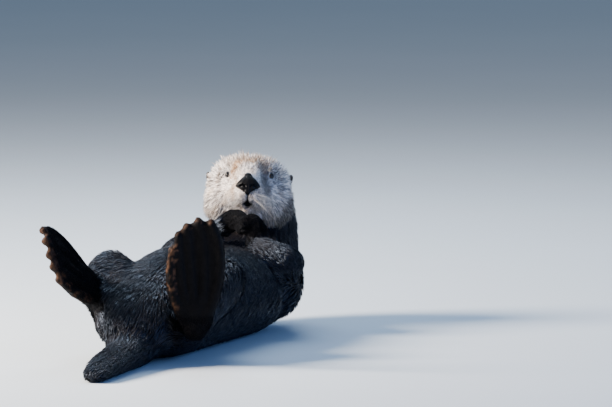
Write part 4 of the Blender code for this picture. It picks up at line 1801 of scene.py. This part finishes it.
class CoatTree:
    """The node tree that plants locks on a piece of skin; every coat piece shares it."""

    def __init__(self) -> None:
        """Build the tree once."""
        self.tree = bpy.data.node_groups.new("plant_locks", "GeometryNodeTree")
        face = self.tree.interface
        face.new_socket("Geometry", in_out="INPUT", socket_type="NodeSocketGeometry")
        self.inputs: dict[str, str] = {
            name: face.new_socket(
                name, in_out="INPUT", socket_type=f"NodeSocket{kind}").identifier
            for name, kind in (("Locks", "Collection"), ("Skin", "Object"), ("Hair", "Material"),
                               ("Density", "Float"), ("Spacing", "Float"), ("Seed", "Int"),
                               ("Jitter", "Float"), ("Most", "Float"), ("Stretch", "Float"),
                               ("Raise", "Float"))}
        face.new_socket("Geometry", in_out="OUTPUT", socket_type="NodeSocketGeometry")
        self.bench = Bench(self.tree)
        self.lay()

    def named(self, name: str, kind: str = "FLOAT") -> Socket:
        """Field of a stored layer."""
        node = self.bench.add("GeometryNodeInputNamedAttribute", {"Name": name}, data_type=kind)
        return next(s for s in node.outputs if s.enabled and s.name != "Exists")

    def chance(self, low: Value, high: Value, seed: int, kind: str = "FLOAT") -> Socket:
        """Random field between two values.

        Args:
            low: Lowest value.
            high: Highest value.
            seed: Seed of the field.
            kind: Its data type.

        Returns:
            The field.
        """
        node = self.bench.add("FunctionNodeRandomValue", data_type=kind)
        for name, value in (("Min", low), ("Max", high), ("Seed", seed)):
            self.bench.feed(node, name, value)
        return next(s for s in node.outputs if s.enabled)

    def keep(self, geometry: Socket, name: str, value: Socket, kind: str, domain: str) -> Socket:
        """Store a field on a geometry.

        Args:
            geometry: The geometry.
            name: Name of the layer.
            value: The field.
            kind: Its data type.
            domain: What it is stored on.

        Returns:
            The geometry with one more layer.
        """
        return self.bench.add("GeometryNodeStoreNamedAttribute", {
            "Geometry": geometry, "Name": name, "Value": value},
            data_type=kind, domain=domain).outputs[0]

    def product(self, first: Value, second: Value) -> Socket:
        """Two numbers multiplied."""
        return self.bench.math("MULTIPLY", first, second)

    def lay(self) -> None:
        """Lay and join the nodes: plant, aim, size, place, comb, unfold and dress the locks."""
        bench, named = self.bench, self.named
        given = bench.add("NodeGroupInput").outputs
        plant = bench.add("GeometryNodeDistributePointsOnFaces", distribute_method="POISSON")
        for name, value in (("Mesh", given["Geometry"]), ("Density Max", given["Density"]),
                            ("Distance Min", given["Spacing"]), ("Seed", given["Seed"]),
                            ("Density Factor", bench.math("DIVIDE", named("hair_thick"),
                                                          given["Most"]))):
            bench.feed(plant, name, value)
        normal = plant.outputs["Normal"]
        shake = bench.vector("SCALE", self.chance(
            (-1.0, -1.0, -1.0), (1.0, 1.0, 1.0), 11, "FLOAT_VECTOR"), given["Jitter"])
        way = bench.vector("ADD", named("hair_lie", "FLOAT_VECTOR"), shake)
        flat = bench.vector("NORMALIZE", bench.vector(
            "SUBTRACT", way, bench.vector("PROJECT", way, normal)))
        angle = bench.math("RADIANS", self.product(
            named("hair_lift"), self.product(self.chance(0.55, 1.45, 12), given["Raise"])))
        aim = bench.vector("ADD", bench.vector("SCALE", flat, bench.math("COSINE", angle)),
                           bench.vector("SCALE", normal, bench.math("SINE", angle)))
        points = self.keep(plant.outputs["Points"], "shade", self.chance(0.0, 1.0, 13),
                           "FLOAT", "POINT")
        first = bench.add("FunctionNodeAlignRotationToVector", {"Vector": aim}, axis="Y")
        turn = bench.add("FunctionNodeAlignRotationToVector", {
            "Rotation": first.outputs[0], "Vector": normal}, axis="Z", pivot_axis="Y")
        wide = self.product(named("hair_width"), self.chance(0.70, 1.35, 14))
        tall = self.product(named("hair_length"), self.product(
            self.chance(0.62, 1.30, 15), given["Stretch"]))
        size = bench.add("ShaderNodeCombineXYZ", {0: wide, 1: tall, 2: wide}).outputs[0]
        locks = bench.add("GeometryNodeCollectionInfo", {
            "Collection": given["Locks"], "Separate Children": True, "Reset Children": True})
        placed = bench.add("GeometryNodeInstanceOnPoints", {
            "Points": points, "Instance": locks.outputs[0], "Pick Instance": True,
            "Instance Index": self.chance(0, 11, 16, "INT"),
            "Rotation": turn.outputs[0], "Scale": size})
        real = bench.add("GeometryNodeRealizeInstances", {"Geometry": placed.outputs[0]})
        place = bench.vector("ADD", named("skin_map", "FLOAT_VECTOR"),
                             named("patch", "FLOAT_VECTOR"))
        mapped = self.keep(self.comb(real.outputs[0], given["Skin"]), "OFBake", place,
                           "FLOAT2", "CORNER")
        dressed = bench.add("GeometryNodeSetMaterial", {
            "Geometry": mapped, "Material": given["Hair"]})
        self.tree.links.new(dressed.outputs[0], bench.add("NodeGroupOutput").inputs[0])

    def comb(self, geometry: Socket, skin: Socket) -> Socket:
        """Pull locks that stand off a curved place back toward the skin.

        Args:
            geometry: The locks as a mesh.
            skin: The whole skin, as an object.

        Returns:
            The combed locks.
        """
        bench = self.bench
        body = bench.add("GeometryNodeObjectInfo", {"Object": skin}).outputs["Geometry"]
        near = bench.add("GeometryNodeProximity", {"Geometry": body}, target_element="FACES")
        here = bench.add("GeometryNodeInputPosition").outputs[0]
        foot, gap = near.outputs["Position"], near.outputs["Distance"]
        rise = bench.math("SINE", bench.math("RADIANS", self.named("hair_lift")))
        wild = self.product(bench.math("SUBTRACT", rise, 0.34), 9.0)
        most = bench.math("MULTIPLY_ADD", self.named("hair_length"), bench.math(
            "MULTIPLY_ADD", rise, 1.6, bench.math("MAXIMUM", wild, 0.0)), 0.0010)
        share = bench.math("DIVIDE", gap, bench.math("ADD", most, 1e-6))
        held = bench.math("DIVIDE", 1.0, bench.math("SQRT", bench.math(
            "MULTIPLY_ADD", share, share, 1.0)))
        moved = bench.vector("ADD", foot, bench.vector(
            "SCALE", bench.vector("SUBTRACT", here, foot), held))
        return bench.add("GeometryNodeSetPosition", {
            "Geometry": geometry, "Position": moved}).outputs[0]


@dataclass
class CoatPiece:
    """One piece of the coat, grown on one area of the skin."""

    name: str
    slot: str
    fur: Fur
    style: LockStyle
    count: int
    seed: int
    jitter: float = 0.10
    stretch: float = 1.0
    lifted: float = 1.0

    def build(self, tree: CoatTree, scalp: Piece, skin: Piece, locks: bpy.types.Collection,
              density: float) -> Piece:
        """Grow the locks.

        Args:
            tree: The shared node tree.
            scalp: Copy of this area of the skin, which becomes the piece.
            skin: The whole skin, which the locks are combed onto.
            locks: The locks to plant.
            density: Locks per square metre.

        Returns:
            The coat piece as a plain mesh.
        """
        thick = gathered(scalp.data.attributes["hair_thick"].data, "value", 1, np.float32)
        modifier = scalp.modifiers.new("plant", "NODES")
        modifier.node_group = tree.tree
        for name, value in {
                "Locks": locks, "Skin": skin, "Hair": self.fur.build(), "Density": density,
                "Spacing": 0.40 / math.sqrt(density), "Seed": self.seed, "Jitter": self.jitter,
                "Most": float(thick.max()), "Stretch": self.stretch,
                "Raise": self.lifted}.items():
            modifier[tree.inputs[name]] = value
        scalp.name = self.name
        settled(scalp)
        self.keep_above_floor(scalp.data)
        return scalp

    def keep_above_floor(self, mesh: bpy.types.Mesh) -> None:
        """Keep every lock above the floor and drop the layers that are no longer read.

        Args:
            mesh: The grown piece's mesh.
        """
        places = gathered(mesh.vertices, "co", 3, np.float32)
        places[:, 2] = np.maximum(places[:, 2], FLOOR_GAP)
        mesh.vertices.foreach_set("co", places.ravel())
        for name in ("patch", "skin_map", "hair_length", "hair_width", "hair_lift",
                     "hair_thick", "hair_lie"):
            layer = mesh.attributes.get(name)
            if layer is not None:
                mesh.attributes.remove(layer)
        mesh.update()


@dataclass
class Coat:
    """The whole coat: which areas it covers, and with which locks and finish."""

    bearings: Bearings
    skin: Skin
    share: float = 1.0
    face_reach: float = 0.066
    flank_height: float = 0.090
    crown_base: float = 0.006
    tips_base: float = 0.020

    def pieces(self) -> list[tuple[CoatPiece, Array]]:
        """Share the skin out among the coat pieces.

        Returns:
            Every piece, with the skin corners that it grows on.
        """
        places = Surface(self.skin.item).places
        local = self.bearings.into(places)
        on = {region: self.skin.in_region(region) > 0.5 for region in Region}
        head, trunk = on[Region.HEAD], on[Region.TRUNK]
        face = head & (self.bearings.from_nose(local) < self.face_reach)
        rest = head & ~face
        upper, left = places[:, 2] > self.flank_height, places[:, 0] > 0
        sunny, high = local[:, 0] < self.bearings.pose.nose[0], local[:, 2] > self.crown_base
        fine = Fur("pale_face_coat", root=0.26, spread=0.46, odd=(0.18, 0.12, 0.09),
                   odd_share=0.18)
        # The blue tints below paint a sky reflection into the coats' shine.
        wet = Fur("wet_body_coat", roughness=0.38, root=0.40, spread=0.50, specular=0.36,
                  painted_sky_tint=(0.48, 0.68, 1.0), tip=(0.055, 0.055, 0.066),
                  odd=(0.030, 0.022, 0.018), odd_share=0.14)
        neck = Fur("wet_neck_coat", roughness=0.42, root=0.30, spread=0.55,
                   painted_sky_tint=(0.60, 0.76, 1.0), tip=(0.24, 0.215, 0.205),
                   odd=(0.052, 0.037, 0.029), odd_share=0.16)
        foot = Fur("foot_coat", roughness=0.50, root=0.6, spread=0.4, specular=0.07,
                   painted_sky_tint=(0.60, 0.76, 1.0), tip=(0.03, 0.025, 0.022),
                   odd=(0.010, 0.008, 0.008), odd_share=0.12)
        # Each row: its name, locks, seed and area, then jitter, stretch and lift if not usual.
        groups = (
            ("pale_fur", fine, LockStyle.FINE, (
                ("face_right", 15000, 1, face & sunny, 0.22),
                ("face_left", 15000, 14, face & ~sunny, 0.22))),
            ("pale_fur", Fur("pale_fur_coat"), LockStyle.SPIKY, (
                ("crown", 14000, 2, rest & high, 0.38),
                ("crown_tips", 480, 16, rest & (local[:, 2] > self.tips_base), 0.45, 1.40, 1.15),
                ("cheek_right", 10000, 3, rest & ~high & sunny, 0.22),
                ("cheek_left", 10000, 15, rest & ~high & ~sunny, 0.22))),
            ("dark_fur", neck, LockStyle.WET, (("neck", 8500, 4, on[Region.NECK]),)),
            ("dark_fur", wet, LockStyle.WET, (
                ("belly_left", 10500, 5, trunk & upper & left),
                ("belly_right", 10500, 6, trunk & upper & ~left),
                ("back_left", 6500, 7, trunk & ~upper & left),
                ("back_right", 6500, 8, trunk & ~upper & ~left),
                ("tail", 3300, 9, on[Region.TAIL]),
                ("forelegs", 7500, 10, on[Region.FORELEG]),
                ("hindlegs", 7500, 11, on[Region.HINDLEG]))),
            ("bare_skin", foot, LockStyle.FINE, (
                ("forepaws", 7500, 12, on[Region.FOREPAW]),
                ("feet", 7000, 13, self.foot_backs(places)))),
        )
        return [(CoatPiece(f"coat_{name}", slot, fur, style, count, seed, *more), chosen)
                for slot, fur, style, rows in groups
                for name, count, seed, chosen, *more in rows]

    def foot_backs(self, places: Array) -> Array:
        """Find the furred upper side of the hind feet.

        Args:
            places: Corners of the skin.

        Returns:
            True where the short fur grows.
        """
        chosen = np.zeros(len(places), bool)
        for name, pose in FEET.items():
            x, y, z = self.bearings.into(places, self.bearings.foot(name)).T
            chosen |= self.skin.on_part(name) & ((z < pose.cup * x ** 2 + 0.002) | (y < 0.030))
        return chosen

    def scalp(self, chosen: Array, name: str) -> Piece:
        """Copy the chosen part of the skin and unfold it.

        Args:
            chosen: Which corners belong to it.
            name: Name of the copy.

        Returns:
            The copy, with its unfolding stored as skin_map.
        """
        mesh = self.skin.item.data.copy()
        form = bmesh.new()
        form.from_mesh(mesh)
        form.verts.ensure_lookup_table()
        gone = [face for face in form.faces
                if sum(chosen[v.index] for v in face.verts) * 2 <= len(face.verts)]
        bmesh.ops.delete(form, geom=gone, context="FACES")
        form.to_mesh(mesh)
        form.free()
        mesh.materials.clear()
        item = as_object(name, mesh)
        mesh.uv_layers.new(name="skin_map")
        bpy.ops.object.select_all(action="DESELECT")
        item.select_set(True)
        bpy.context.view_layer.objects.active = item
        bpy.ops.object.mode_set(mode="EDIT")
        bpy.ops.mesh.select_all(action="SELECT")
        bpy.ops.uv.smart_project(angle_limit=math.radians(66), island_margin=0.004)
        bpy.ops.object.mode_set(mode="OBJECT")
        return item

    def build(self) -> list[tuple[Piece, str]]:
        """Grow every piece of the coat.

        Returns:
            Each piece with a slot name.
        """
        tree = CoatTree()
        sets = {}
        for style in LockStyle:
            sets[style] = bpy.data.collections.new(f"locks_{style.value}")
            for number, lock in enumerate(style.locks()):
                sets[style].objects.link(lock.build(f"lock_{style.value}_{number}"))
        grown = []
        for piece, chosen in self.pieces():
            scalp = self.scalp(chosen, f"scalp_{piece.name}")
            area = sum(face.area for face in scalp.data.polygons)
            density = piece.count * self.share / area
            grown.append((piece.build(tree, scalp, self.skin.item, sets[piece.style], density),
                          piece.slot))
        for home in sets.values():
            for lock in list(home.objects):
                bpy.data.objects.remove(lock)
            bpy.data.collections.remove(home)
        return grown


# ---------------------------------------------------------------- studio

@dataclass
class Studio:
    """Plain pale floor, soft lights and the camera."""

    bearings: Bearings
    azimuth: float = 18.0
    elevation: float = 6.0
    distance: float = 20.0
    view_width: float = 1.1547
    sensor: float = 36.0
    aim: Colour = (0.19245, 0.2583, 0.10)

    def direction(self, azimuth: float, elevation: float) -> Vector:
        """Unit direction from the model toward a place round it.

        Args:
            azimuth: Degrees round from straight in front.
            elevation: Degrees above the horizon.

        Returns:
            The direction.
        """
        a, e = math.radians(azimuth), math.radians(elevation)
        return Vector((math.sin(a) * math.cos(e), -math.cos(a) * math.cos(e), math.sin(e)))

    def put(self, name: str, data: bpy.types.ID, place: Vector, way: Vector) -> Piece:
        """Add a lamp or camera that looks back along a direction.

        Args:
            name: Its name.
            data: The lamp or camera.
            place: Where it stands.
            way: Direction from what it looks at toward it.

        Returns:
            The new object.
        """
        item = as_object(name, data)
        item.location = place
        item.rotation_mode = "QUATERNION"
        item.rotation_quaternion = way.to_track_quat("Z", "Y")
        return item

    def build(self) -> Piece:
        """Make the lights, the sky, the camera and the floor.

        Returns:
            The floor.
        """
        for row in (("key", -68, 32, 3.2, 1.2, 540.0, (1.0, 0.90, 0.80)),
                    ("fill", 80, 20, 3.4, 2.6, 62.0, (0.14, 0.36, 1.0)),
                    ("rim", 200, 50, 3.2, 2.0, 90.0, (0.66, 0.82, 1.0))):
            self.lamp(*row)
        world = bpy.data.worlds.new("soft_sky")
        world.use_nodes = True
        sky = world.node_tree.nodes["Background"].inputs
        sky[0].default_value, sky[1].default_value = (0.46, 0.68, 1.0, 1.0), 0.32
        bpy.context.scene.world = world
        self.camera()
        form = bmesh.new()
        bmesh.ops.create_grid(form, x_segments=8, y_segments=8, size=60.0)
        floor = from_form("floor", form, smooth=False)
        floor.data.materials.append(FloorPaint().build())
        return floor

    def lamp(self, name: str, azimuth: float, elevation: float, away: float, size: float,
             power: float, colour: Colour) -> None:
        """Add a large soft light that looks at the model.

        Args:
            name: Its name.
            azimuth: Where it stands round the model, in degrees.
            elevation: How high it stands, in degrees.
            away: Its distance in metres.
            size: Its width in metres.
            power: Its strength in watts.
            colour: Its colour.
        """
        data = bpy.data.lights.new(name, "AREA")
        data.shape, data.size, data.energy, data.color = "DISK", size, power, colour
        way = self.direction(azimuth, elevation)
        self.put(name, data, Vector((0.0, 0.1, 0.1)) + way * away, way).visible_camera = False

    def camera(self) -> None:
        """Add the camera."""
        back = self.direction(self.azimuth, self.elevation)
        a = math.radians(self.azimuth)
        right = Vector((math.cos(a), math.sin(a), 0.0))
        up = back.cross(right)
        across = self.aim[0] + right.dot(self.bearings.shift)
        above = self.aim[1] + up.dot(self.bearings.shift)
        data = bpy.data.cameras.new("camera")
        data.sensor_width = self.sensor
        data.lens = self.sensor * self.distance / self.view_width
        data.clip_start, data.clip_end = 0.5, 200.0
        place = right * across + up * above - back * self.aim[2] + back * self.distance
        bpy.context.scene.camera = self.put("camera", data, place, back)


def settle_piece(item: Piece, slot: str, *stands_for: str) -> None:
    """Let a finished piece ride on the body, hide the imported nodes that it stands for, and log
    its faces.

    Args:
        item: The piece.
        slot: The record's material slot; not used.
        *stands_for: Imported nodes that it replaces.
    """
    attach(item, "root")
    if stands_for:
        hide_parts(*stands_for)
    log.info("%s: %d faces", item.name, len(item.data.polygons))


def main() -> None:
    """Build the otter piece by piece, then the studio."""
    logging.basicConfig(level=logging.INFO, format="%(name)s: %(message)s")
    noise.seed_set(NOISE_SEED)
    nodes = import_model()["nodes"]
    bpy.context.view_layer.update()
    bearings = Bearings()
    skin = Skin(bearings)
    settle_piece(skin.build(nodes), "dark_fur", *FLESH)
    for side, word in SIDES:
        settle_piece(Eye(side, bearings).build(), "eye", f"eye_{word}")
        ear = Ear(side, bearings).build(nodes[f"ear_{word}"])
        settle_piece(ear, "ear_skin", f"ear_{word}")
    settle_piece(Eyelids(bearings).build(), "bare_skin")
    settle_piece(NosePad(bearings).build(nodes["nose"]), "nose_pad", "nose")
    settle_piece(Claws(bearings).build(), "bare_skin")
    settle_piece(Whiskers(bearings, skin.item).build(), "pale_fur")
    for item, slot in Coat(bearings, skin, 1.0).build():
        settle_piece(item, slot)
    Studio(bearings).build()


if __name__ == "__main__":
    main()
